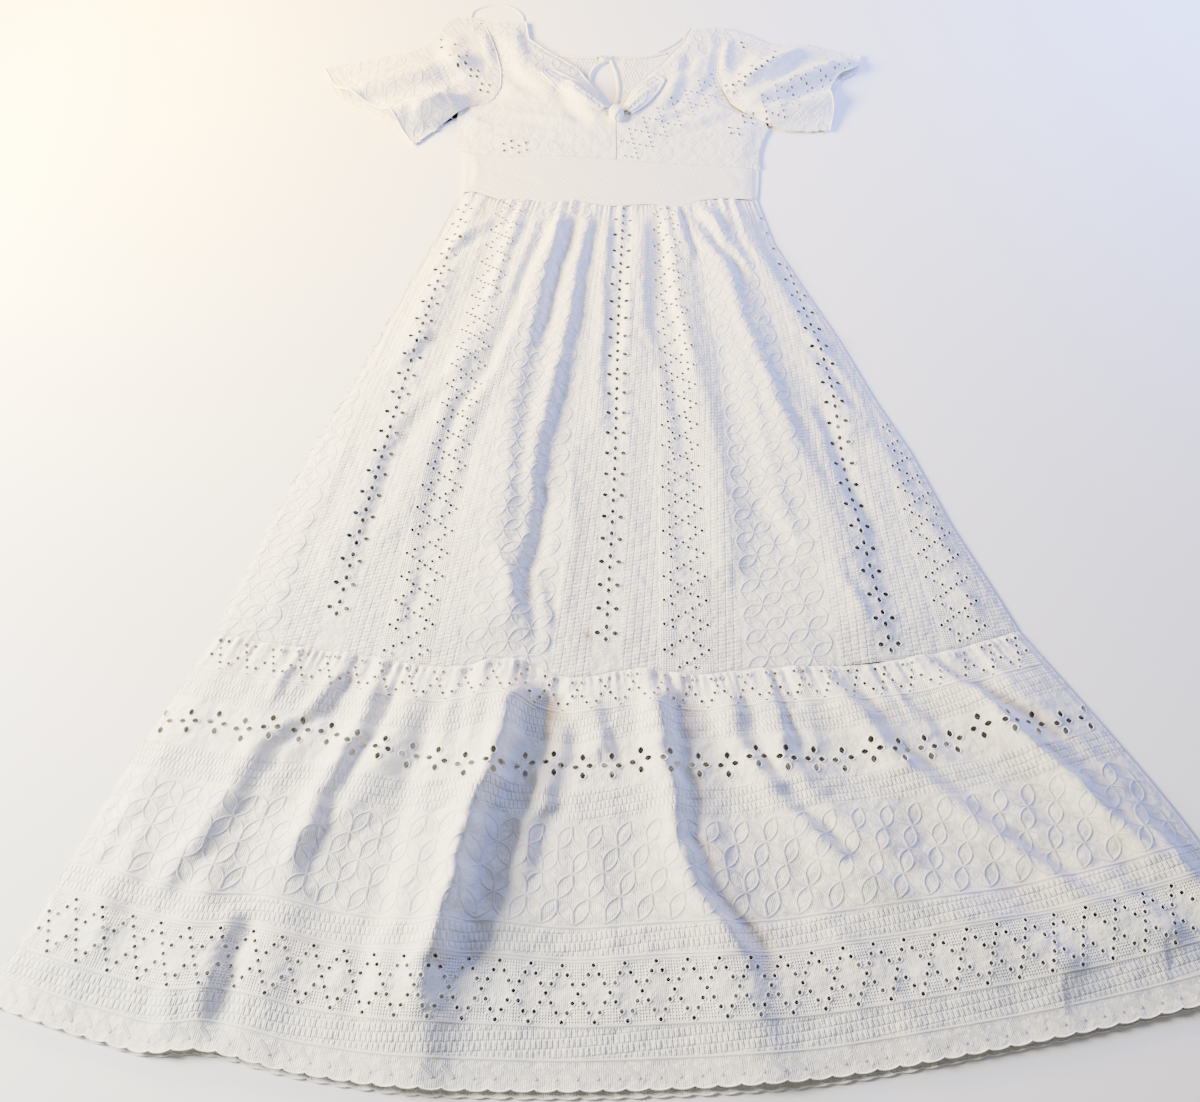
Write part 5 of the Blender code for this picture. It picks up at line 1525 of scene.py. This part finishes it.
def polished_shell(name, colour):
    """Moulded button with the look of polished shell: smooth, with cloudy bands about 4 mm apart."""
    material, tree, shader = base_material(name, colour, 0.25)
    place = add_node(tree, "ShaderNodeTexCoord").outputs["Object"]
    cloud = add_node(tree, "ShaderNodeTexNoise", {"Vector": place, "Scale": 260.0, "Detail": 2.0})
    pair = {"Factor": cloud.outputs["Fac"], "A": colour, "B": linear("#D9CDB4")}
    tint = add_node(tree, "ShaderNodeMix", pair, data_type="RGBA")
    tree.links.new(tint.outputs["Result"], shader.inputs["Base Color"])
    return material


def find_material(name, maker, *values):
    """A material by name, made on first use."""
    found = bpy.data.materials.get(name)
    if found is None:
        found = maker(name, *values)
    return found


def eyelet_cloth():
    """The cloth of the skirt, ruffle, bodice, sleeves and tie."""
    return find_material("cotton_jersey_embroidered", eyelet_jersey, tuple(settings().ivory))


def plain_cloth():
    """The cloth of the waistband and the knot."""
    return find_material("cotton_jersey_plain", plain_jersey, tuple(settings().plain))


def thread():
    """The thread of the rims, cords and rolled edges."""
    return find_material("cotton_thread_satin_stitched", stitch_thread, linear("#F6F4EE"))


# Operators


def grid(rows, columns):
    """u and v over a grid of points, both from 0 to 1."""
    down, over = np.linspace(0.0, 1.0, rows + 1), np.linspace(0.0, 1.0, columns + 1)
    v, u = np.meshgrid(down, over, indexing="ij")
    return u, v


def grid_line(x, y, z, place):
    """The points along one row or column of a grid."""
    return np.stack([x[place], y[place], z[place]], 1)


class DRESS_OT_stage(Operator):
    """Lay the floor, hang the soft lights and set the camera"""

    bl_idname = "dress.stage"
    bl_label = "Floor, lights and camera"

    def execute(self, context):
        stage = context.scene.dress_stage
        link = context.scene.collection.objects.link
        mesh = bpy.data.meshes.new("floor")
        far = FLOOR_REACH
        corners = [(-far, -far, 0.0), (far, -far, 0.0), (far, far, 0.0), (-far, far, 0.0)]
        mesh.from_pydata(corners, [], [(0, 1, 2, 3)])
        mesh.materials.append(base_material("matt_paper_floor", tuple(stage.floor), 0.95)[0])
        floor = bpy.data.objects.new("floor", mesh)
        floor.location.z = -FLOOR_DROP
        link(floor)
        for lamp in LAMPS:
            light = bpy.data.lights.new(lamp.name, "AREA")
            light.size = lamp.size
            light.energy = stage.key * lamp.share
            light.color = linear(lamp.colour)[:3]
            item = bpy.data.objects.new(lamp.name, light)
            item.location = lamp.place
            way = Vector(lamp.toward) - item.location
            item.rotation_euler = way.to_track_quat("-Z", "Y").to_euler()
            link(item)
        world = bpy.data.worlds.new("soft_room")
        world.use_nodes = True
        room = world.node_tree.nodes["Background"].inputs
        room["Color"].default_value = (1.0, 1.0, 1.0, 1.0)
        room["Strength"].default_value = ROOM_LIGHT
        context.scene.world = world
        lens = bpy.data.cameras.new("camera")
        lens.lens = stage.lens
        lens.sensor_width = SENSOR_WIDTH
        camera = bpy.data.objects.new("camera", lens)
        camera.location = CAMERA_PLACE
        camera.rotation_euler = (math.radians(CAMERA_TILT), 0.0, 0.0)
        link(camera)
        context.scene.camera = camera
        return {"FINISHED"}


def groove(distance, depth, width=1.6):
    """How far the cloth dips beside a seam's stitches."""
    return depth * np.exp(-((distance / width) ** 2))


def side_join(cloth_z, edge):
    """Bring a front panel's side edges down to the back panel's."""
    share = ease(0.0, SIDE_JOIN, edge)
    return cloth_z * share + JOIN_HEIGHT * (1.0 - share)


class DRESS_OT_front_skirt(Operator):
    """Lay the gathered front skirt with its striped embroidery"""

    bl_idname = "dress.front_skirt"
    bl_label = "Front skirt"

    def execute(self, context):
        u, v = grid(SKIRT_ROWS, settings().skirt_columns)
        x, y = skirt_place(u, v)
        z = skirt_rise(u, x, y) + FACE
        from_waist = skirt_place(u, 0.0 * v)[1] - y
        from_tier = y - skirt_place(u, 0.0 * v + 1.0)[1]
        z = z - groove(from_waist, 1.4, 2.2) - groove(from_tier, 1.0, 1.2)
        y = y + HALF_SEAM * (2.0 * v - 1.0)
        left, right = side_at(SKIRT_SIDES, y)
        z = side_join(z, np.minimum(x - left, right - x))
        cloth = Cloth(x, y, z, *skirt_weave(x, y))
        away = np.hypot(x - STAIN.x, y - STAIN.y)
        cloth.mask("stain", sum(k * np.exp(-((away / wide) ** 2)) for k, wide in STAIN_SPREADS))
        paths = skirt_pattern(cloth)
        item = cloth_object("front_skirt", cloth)
        stitches = embroidery("front_skirt_embroidery", cloth, paths)
        return {"FINISHED"}


class DRESS_OT_front_ruffle(Operator):
    """Lay the gathered front ruffle with its border and scalloped hem"""

    bl_idname = "dress.front_ruffle"
    bl_label = "Front ruffle"

    def execute(self, context):
        u, v = grid(*RUFFLE_CELLS)
        x, y = ruffle_place(u, v)
        z = ruffle_rise(u, v, x, y) + FACE
        from_seam = ruffle_place(u, 0.0 * v)[1] - y
        z = z - groove(from_seam, 1.6, 1.6)
        y = y - HALF_SEAM * (1.0 - v) - scallop(u) * ease(0.96, 1.0, v)
        left = ruffle_place(0.0 * u, v)[0]
        right = ruffle_place(0.0 * u + 1.0, v)[0]
        z = side_join(z, np.minimum(x - left, right - x))
        cloth = Cloth(x, y, z, (u - 0.5) * RUFFLE_WIDTH, v * RUFFLE_DEPTH)
        paths = ruffle_pattern(cloth, ruffle_place)
        item = cloth_object("front_ruffle", cloth)
        hem = grid_line(x, y, z, -1) + (0.0, 0.5, 0.1)
        stitches = embroidery("front_ruffle_embroidery", cloth, paths, rolls=[(hem, 0.6)])
        return {"FINISHED"}


class DRESS_OT_back_panels(Operator):
    """Lay the flat back skirt, ruffle and waistband"""

    bl_idname = "dress.back_panels"
    bl_label = "Back skirt, ruffle and waistband"

    def execute(self, context):
        u, v = grid(*BACK_SKIRT_CELLS)
        x, y = skirt_place(u, v)
        z = 0.0 * u + BACK_FACE + soft_waves(x, y, BACK_WAVES)
        skirt = Cloth(x, y, z, *skirt_weave(x, y))
        paths = skirt_pattern(skirt)
        item = cloth_object("back_skirt", skirt, flip=True)
        stitches = embroidery("back_skirt_embroidery", skirt, paths, -1.0)
        u, v = grid(*BACK_RUFFLE_CELLS)
        x, y = ruffle_place(u, v)
        drop = BACK_HEM_DROP * np.sin(math.pi * u) * v
        y = y - HALF_SEAM * (1.0 - v) - scallop(u) * ease(0.96, 1.0, v) - drop
        z = 0.0 * u + BACK_FACE + soft_waves(x, y, BACK_WAVES)
        ruffle = Cloth(x, y, z, (u - 0.5) * RUFFLE_WIDTH, v * RUFFLE_DEPTH)
        paths = ruffle_pattern(ruffle, ruffle_place)
        item = cloth_object("back_ruffle", ruffle, flip=True)
        hem = grid_line(x, y, z, -1) + (0.0, 0.5, 0.0)
        stitches = embroidery("back_ruffle_embroidery", ruffle, paths, -1.0, [(hem, 0.7)])
        u, v = grid(*BACK_WAISTBAND_CELLS)
        x, y = band_place(u, v)
        z = 0.0 * u + BACK_FACE
        band = Cloth(x, y, z, (u - 0.5) * WAISTBAND_WIDTH, v * WAISTBAND_DEPTH)
        item = cloth_object("back_waistband", band, plain=True, flip=True)
        return {"FINISHED"}


class DRESS_OT_waistband(Operator):
    """Lay the plain front waistband"""

    bl_idname = "dress.waistband"
    bl_label = "Front waistband"

    def execute(self, context):
        u, v = grid(*WAISTBAND_CELLS)
        x, y = band_place(u, v)
        z = band_rise(u, v, x, y) + FACE
        y = y + HALF_SEAM * (2.0 * v - 1.0)
        left, right = side_at(WAISTBAND_SIDES, y)
        inside = np.minimum(x - left, right - x)
        edge = ease(0.0, SIDE_JOIN, inside)
        z = side_join(z, inside)
        z = z + (0.9 * ease(0.84, 0.94, v) - 0.5 * ease(0.97, 1.0, v)) * edge
        z = z - groove(v * WAISTBAND_DEPTH, 1.0, 2.2) * edge
        band = Cloth(x, y, z, (u - 0.5) * WAISTBAND_WIDTH, v * WAISTBAND_DEPTH)
        item = cloth_object("front_waistband", band, plain=True)
        return {"FINISHED"}


def aside_of(path, offset):
    """A path moved sideways by an offset."""
    ahead = np.gradient(path, axis=0)
    ahead /= np.hypot(ahead[:, 0], ahead[:, 1])[:, None]
    return path + np.stack([-ahead[:, 1], ahead[:, 0]], 1) * offset


def keyhole_outline(grow=0.0):
    """Points round the teardrop, down its left side and up its right, grown evenly outwards."""
    spots = [(row.left, row.y) for row in KEYHOLE_SIDES]
    spots += [(row.right, row.y) for row in reversed(KEYHOLE_SIDES)]
    return aside_of(np.array(spots), grow)


def dense(path, step=1.5):
    """A path with more places along its straight runs."""
    path = np.asarray(path, float)
    along = np.concatenate([[0.0], np.cumsum(np.linalg.norm(np.diff(path, axis=0), axis=1))])
    stops = np.linspace(0.0, along[-1], max(int(along[-1] / step), 3))
    return np.stack([np.interp(stops, along, path[:, k]) for k in range(path.shape[1])], 1)


def smooth_path(path, step=1.5, rounds=3):
    """A dense path with its corners eased."""
    path = dense(path, step)
    for _ in range(rounds):
        path[1:-1] = (path[:-2] + 2.0 * path[1:-1] + path[2:]) / 4.0
    return path


def binding_strip(name, inner, outer, base, crown, material, slot, replaces):
    """A narrow folded strip between two edges, rounded over its middle."""
    rows = 7
    points = []
    for k in range(rows):
        share = k / (rows - 1)
        rise = crown * math.sin(math.pi * share) ** 0.6
        spots = inner + (outer - inner) * share
        points += [(x, y, base + rise) for x, y in spots]
    return new_piece(name, points, quads(rows, len(inner)), material, replaces)


def seam_puckers(distance, along, height, pitch):
    """Small tucks that run away from a curved seam."""
    uneven = 0.6 + 0.4 * np.sin(along / pitch * 1.7 + 1.0)
    wave = np.sin(2.0 * math.pi * along / pitch + 1.3 * np.sin(along / pitch))
    return height * uneven * wave * np.exp(-distance / 9.0) * ease(0.0, 2.0, distance)


class DRESS_OT_back_bodice(Operator):
    """Lay the flat back bodice with its neck edge and keyhole"""

    bl_idname = "dress.back_bodice"
    bl_label = "Back bodice"

    def execute(self, context):
        outline = [tuple(spot) for spot in BACK_NECK if spot.x < -19.0][:-1] + [(-21.5, 567.0)]
        outline += [tuple(spot) for spot in keyhole_outline()]
        outline += [(-18.5, 567.0)] + [tuple(spot) for spot in BACK_NECK if spot.x > 0.0]
        outline += [(row.right - HALF_SEAM, row.y) for row in BODICE_RIGHT_SIDES[:-1]]
        u = np.linspace(1.0, 0.0, GATHERS + 1)
        x, y = band_place(u, 0.0 * u)
        outline += list(zip(x, y + HALF_SEAM))
        rows = sorted(BODICE_LEFT_SIDES, key=lambda row: row.y)[1:]
        outline += [(row.left + HALF_SEAM, row.y) for row in rows]
        edge = dense(outline + outline[:1], 2.5)[:-1]
        step = BACK_BODICE_STEP
        gx, gy = np.meshgrid(np.arange(-212.0, 184.0, step), np.arange(355.0, 637.0, step))
        inner = [
            (a, b)
            for a, b in zip(gx.ravel(), gy.ravel())
            if np.min(np.hypot(edge[:, 0] - a, edge[:, 1] - b)) > 0.6 * step
        ]
        spots = [Vector(spot) for spot in edge.tolist()] + [Vector(spot) for spot in inner]
        sides = [(i, (i + 1) % len(edge)) for i in range(len(edge))]
        found, _, faces, *_ = delaunay_2d_cdt(spots, sides, [], 1, 1e-6)
        faces = [tuple(face) for face in faces]
        x, y = np.array([(spot.x, spot.y) for spot in found]).T
        points = np.column_stack([x, y, BACK_FACE + soft_waves(x, y, BACK_WAVES)])
        item = new_piece(
            "back_bodice_cloth", points, faces, eyelet_cloth(), ["back_bodice"]
        )
        lay_weave(item.data, x, y)
        dashes = inside_bands(np.mod(x + 16.0, REPEAT), STRIPE_DASHES)
        paint(item.data, "dashes", dashes.astype(np.float32))
        return {"FINISHED"}


class DRESS_OT_front_bodice(Operator):
    """Lay the two draped front halves over the back bodice"""

    bl_idname = "dress.front_bodice"
    bl_label = "Front bodice"

    def execute(self, context):
        large = settings().eyelet / MM
        table = (
            (
                "front_bodice_left",
                BODICE_LEFT_SIDES,
                True,
                Weave((-136.0, 391.5), (-30.0, 330.0)),
                ((-145.0, 393.0), (-127.0, 390.0)),
            ),
            (
                "front_bodice_right",
                BODICE_RIGHT_SIDES,
                False,
                Weave((144.0, 428.0), (60.0, 344.0), -1.0),
                ((153.0, 439.0), (135.0, 418.0)),
            ),
        )
        for name, sides, left_half, weave, clusters in table:
            u, v = grid(*BODICE_CELLS)
            top_y, low_y = sides[0].y, sides[-1].y
            y_row = top_y + (low_y - top_y) * v
            left, right = side_at(sides, y_row)
            x = left + (right - left) * u
            y_seam = seam_height(WAISTBAND_TOP, x) + 2.0 * HALF_SEAM
            y = y_row + (y_seam - low_y) * ease(KNOT.y, low_y, y_row)
            from_outer = (u if left_half else 1.0 - u) * (right - left)
            z = bodice_rise(x, y, left_half) + FACE
            z = z + seam_puckers(from_outer, y_row, 0.7, 11.0) * ease(450.0, 470.0, y_row)
            z = z - groove(from_outer, 0.5, 1.5) - groove(y - y_seam, 1.0, 1.6)
            cloth = Cloth(x, y, z, *weave.to_cloth(x, y))
            holes, paths = stripes(cloth, weave.to_place, BODICE_REACH, (-1, 0, 1), 0.45)
            clustered = cluster_group(clusters, weave.way, large * SMALLER_CLUSTER)
            cloth.punch(clustered + ([] if left_half else holes))
            item = cloth_object(name, cloth)
            inner = grid_line(x, y, z, np.s_[:, -1] if left_half else np.s_[:, 0])
            neck = smooth_path(inner[inner[:, 1] > KNOT.y + 14.0], 2.0)
            rolls = [(neck, 1.1), (grid_line(x, y, z, 0), 0.9)]
            stitches = embroidery(name + "_embroidery", cloth, paths, rolls=rolls)
        return {"FINISHED"}


class DRESS_OT_sleeves(Operator):
    """Lay the two flutter sleeves"""

    bl_idname = "dress.sleeves"
    bl_label = "Sleeves"

    def execute(self, context):
        large = settings().eyelet / MM
        table = (
            (
                "sleeve_left",
                (SLEEVE_LEFT_ARMHOLE, SLEEVE_LEFT_TOP, SLEEVE_LEFT_CUFF, SLEEVE_LEFT_UNDERARM),
                SLEEVE_LEFT_FOLDS + SLEEVE_LEFT_CREASES,
                SLEEVE_LEFT_FALLS,
                spot_line((-221, 554), (-188, 499)),
                SLEEVE_LEFT_EYELETS,
                -1.0,
            ),
            (
                "sleeve_right",
                (SLEEVE_RIGHT_ARMHOLE, SLEEVE_RIGHT_TOP, SLEEVE_RIGHT_CUFF, SLEEVE_RIGHT_UNDERARM),
                SLEEVE_RIGHT_FOLDS + SLEEVE_RIGHT_CREASES,
                SLEEVE_RIGHT_FALLS,
                spot_line((148, 522), (169, 542)),
                SLEEVE_RIGHT_EYELETS,
                1.0,
            ),
        )
        for name, edges, folds, falls, way, eyelets, away in table:
            u, v = grid(*SLEEVE_CELLS)
            x, y = coons_place(edges, u, v)
            z = sleeve_rise(folds, falls, u, v, x, y) + FACE
            start_x, start_y = coons_place(edges, u, 0.0 * v)
            from_armhole = np.hypot(x - start_x, y - start_y)
            end_x, end_y = coons_place(edges, u, 0.0 * v + 1.0)
            from_cuff = np.hypot(x - end_x, y - end_y)
            z = z + seam_puckers(from_armhole, u * SLEEVE_ROUND, 0.9, 10.0)
            z = z - groove(from_armhole, 0.6, 1.5)
            z = z - groove(from_cuff - 10.0, 0.35, 1.0)
            x = x + away * 2.0 * HALF_SEAM
            y = y + 2.0 * HALF_SEAM
            weave = Weave(*way, -away)
            along, across = weave.to_cloth(x, y)
            cloth = Cloth(x, y, z, along, across)
            holes, paths = stripes(cloth, weave.to_place, SLEEVE_REACH, (-1, 0))
            single = [Hole(*spot, 0.5 * math.pi, large * 1.15, large * 0.9) for spot in eyelets]
            cloth.punch(single + holes)
            item = cloth_object(name + "_front", cloth, flip=away > 0)
            cuff = smooth_path(grid_line(x, y, z, -1), 2.0)
            armhole = smooth_path(grid_line(x, y, z, 0) + (0.0, 0.0, 0.3), 2.0)
            rolls = [(cuff, 1.0), (armhole, 0.8)]
            stitches = embroidery(name + "_embroidery", cloth, paths, rolls=rolls)
            show = BACK_CUFF_SHOW * np.sin(math.pi * u) * v
            back = Cloth(x + away * show, y - 0.6 * show, 0.0 * u + BACK_FACE, along, across)
            stripes(back, weave.to_place, SLEEVE_REACH, (0,))
            item = cloth_object(name + "_back", back, flip=away < 0)
        return {"FINISHED"}


def on_bodice(x, y):
    """Underside of a piece that lies on the front bodice's outer face."""
    x, y = np.asarray(x, float), np.asarray(y, float)
    rise = np.where(x < KNOT.x, bodice_rise(x, y, True), bodice_rise(x, y, False))
    return rise + FRONT_WALL + CLEARANCE + 0.4


class DRESS_OT_tie(Operator):
    """Tie the knot and lay its two short ends on the bodice"""

    bl_idname = "dress.tie"
    bl_label = "Knot and tie ends"

    def execute(self, context):
        for tie in TIE_ENDS:
            start = np.array(tie.start)
            ahead = np.array(tie.tip) - start
            long = np.hypot(*ahead)
            aside = np.array([-ahead[1], ahead[0]]) / long
            u, v = grid(*TIE_CELLS)
            wide = tie.half_width * (0.35 + 0.65 * np.sin(math.pi * np.minimum(0.12 + v * 0.8, 1.0)))
            across = 2.0 * u - 1.0
            round_off = 1.0 - across**2
            x = start[0] + ahead[0] * v + aside[0] * across * wide
            y = start[1] + ahead[1] * v + aside[1] * across * wide
            crown = TIE_CROWN * round_off * np.sin(math.pi * np.minimum(v + 0.15, 1.0))
            z = on_bodice(x, y) + np.maximum(crown, 0.0) + 0.8
            fan = np.exp(-v * 3.0) * round_off
            z = z + 0.9 * fan * np.cos(across * 9.0)
            z = z + 0.5 * np.sin(across * 7.0 + v * 5.0) * round_off
            cloth = Cloth(x, y, z, v * long, across * tie.half_width)
            cloth.mask("dashes", inside_bands(across * tie.half_width, (Band(-6.0, 6.0),)))
            item = cloth_object(tie.name, cloth)
            left, tip, right = (grid_line(x, y, z, k) for k in (np.s_[:, 0], -1, np.s_[::-1, -1]))
            edge = smooth_path(np.concatenate([left, tip, right]), 2.0)
            leaves = petal_paths(12.0, 90.0, -9.0, 9.0, 20.0, 1)
            paths = [start + path[:, :1] * (ahead / long) + path[:, 1:] * aside for path in leaves]
            stitches = embroidery(tie.name + "_hem", cloth, paths, rolls=[(edge, 0.9)])
        low, high = (
            np.array(corner) / MM + (PLAN_CENTRE.x, PLAN_CENTRE.y, 0.0)
            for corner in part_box("center_knot")[:2]
        )
        middle, half = (low + high) / 2.0, (high - low) / 2.0
        rows, columns = KNOT_CELLS
        points = []
        for i in range(rows + 1):
            t = math.pi * i / rows
            for j in range(columns):
                a = 2.0 * math.pi * j / columns
                way = np.array([math.sin(t) * math.cos(a), math.cos(t), math.sin(t) * math.sin(a)])
                lean = a + 0.9 * math.cos(t)
                wrap = 1.0 + 0.05 * math.cos(5.0 * lean) + 0.03 * math.cos(9.0 * lean + 2.0)
                points.append(middle + way * half * (0.95 * wrap))
        faces = quads(rows + 1, columns, closed=True)
        new_piece("center_knot_cloth", points, faces, plain_cloth(), ["center_knot"])
        return {"FINISHED"}


class DRESS_OT_trims(Operator):
    """Lay the bindings, the button with its loop and the hanger tapes"""

    bl_idname = "dress.trims"
    bl_label = "Bindings, button and hanger tapes"

    def execute(self, context):
        tape = find_material("cotton_tape_woven", plain_jersey, tuple(settings().plain))
        stops = np.linspace(0.0, 1.0, 120)
        inner, outer = (
            np.stack([np.interp(stops, np.linspace(0, 1, len(edge)), edge[:, k]) for k in (0, 1)], 1)
            for edge in (smooth_path(keyhole_outline(grow), 1.2) for grow in (0.6, BINDING_WIDTH))
        )
        node = "keyhole_binding"
        binding_strip(node + "_tape", inner, outer, REST, 1.4, tape, "trim_cotton", [node])
        inset = BINDING_WIDTH / 2.0 + CLEARANCE
        left = ((-84.0, 571.5 - inset), (-60.0, 568.8 - inset), (-36.0, 567.5 - inset))
        right = ((-7.0, 567.5 - inset), (31.0, 570.0 - inset), (54.0, 576.5 - inset))
        half = (BINDING_WIDTH - 1.0) / 2.0
        for name, path in (("back_neck_binding_left", left), ("back_neck_binding_right", right)):
            path = np.stack(curve(path, np.linspace(0.0, 1.0, 60)), 1)
            edges = aside_of(path, half), aside_of(path, -half)
            binding_strip(name + "_tape", *edges, REST, 1.3, tape, "trim_cotton", [name])
        for name, path in (("hanger_loop_left", HANGER_LEFT), ("hanger_loop_right", HANGER_RIGHT)):
            path = np.stack(curve(path, np.linspace(0.0, 1.0, 90)), 1)
            edges = aside_of(path, HANGER_HALF), aside_of(path, -HANGER_HALF)
            binding_strip(name + "_tape", *edges, 0.1, 1.0, tape, "trim_cotton", [name])
        base = REST + BINDING_WALL + CLEARANCE
        profile = (
            (0.0, 2.0), (1.2, 1.95), (2.2, 1.8), (2.7, 1.9), (3.2, 2.25), (3.7, 2.3),
            (4.0, 1.9), (4.0, 1.0), (3.6, 0.3), (2.6, 0.0), (0.0, 0.0),
        )
        points = []
        for radius, height in profile:
            for k in range(BUTTON_STEPS):
                a = 2.0 * math.pi * k / BUTTON_STEPS
                x, y = BUTTON.x + radius * math.cos(a), BUTTON.y + radius * math.sin(a)
                points.append((x, y, base + height))
        faces = [(a, d, c, b) for a, b, c, d in quads(len(profile), BUTTON_STEPS, closed=True)]
        shell = find_material("button_shell_polished", polished_shell, linear("#EFE8D8"))
        new_piece("neck_button_shell", points, faces, shell, ["neck_button"])
        angle = np.radians(-35.0 - 290.0 * np.linspace(0.0, 1.0, 40))
        ring = np.stack([BUTTON.x + 5.3 * np.cos(angle), BUTTON.y + 5.3 * np.sin(angle)], 1)
        ring = np.concatenate([[(-12.5, BUTTON.y - 1.6)], ring, [(-12.5, BUTTON.y + 1.6)]])
        path = np.column_stack([ring, np.full(len(ring), base + 0.7)])
        points, faces = [], []
        roll(points, faces, path, 0.7, 10)
        new_piece("neck_button_loop_cord", points, faces, tape, ["neck_button_loop"])
        return {"FINISHED"}


class DRESS_PT_tools(Panel):
    """The dress's making, piece by piece"""

    bl_label = "Maxi dress"
    bl_idname = "DRESS_PT_tools"
    bl_space_type = "VIEW_3D"
    bl_region_type = "UI"
    bl_category = "Dress"

    def draw(self, context):
        layout = self.layout
        for name in ("ivory", "plain", "eyelet", "small_eyelet", "cord", "skirt_columns"):
            layout.prop(context.scene.maxi_dress, name)
        for operator in OPERATORS:
            layout.operator(operator.bl_idname)


OPERATORS = (
    DRESS_OT_stage,
    DRESS_OT_back_panels,
    DRESS_OT_front_skirt,
    DRESS_OT_front_ruffle,
    DRESS_OT_waistband,
    DRESS_OT_back_bodice,
    DRESS_OT_front_bodice,
    DRESS_OT_sleeves,
    DRESS_OT_tie,
    DRESS_OT_trims,
)
CLASSES = (DressSettings, StageSettings) + OPERATORS + (DRESS_PT_tools,)


def register():
    for item in CLASSES:
        bpy.utils.register_class(item)
    bpy.types.Scene.maxi_dress = PointerProperty(type=DressSettings)
    bpy.types.Scene.dress_stage = PointerProperty(type=StageSettings)


def unregister():
    del bpy.types.Scene.dress_stage
    del bpy.types.Scene.maxi_dress
    for item in reversed(CLASSES):
        bpy.utils.unregister_class(item)


def main():
    register()
    for operator in OPERATORS:
        group, name = operator.bl_idname.split(".")
        getattr(getattr(bpy.ops, group), name)()


if __name__ == "__main__":
    main()
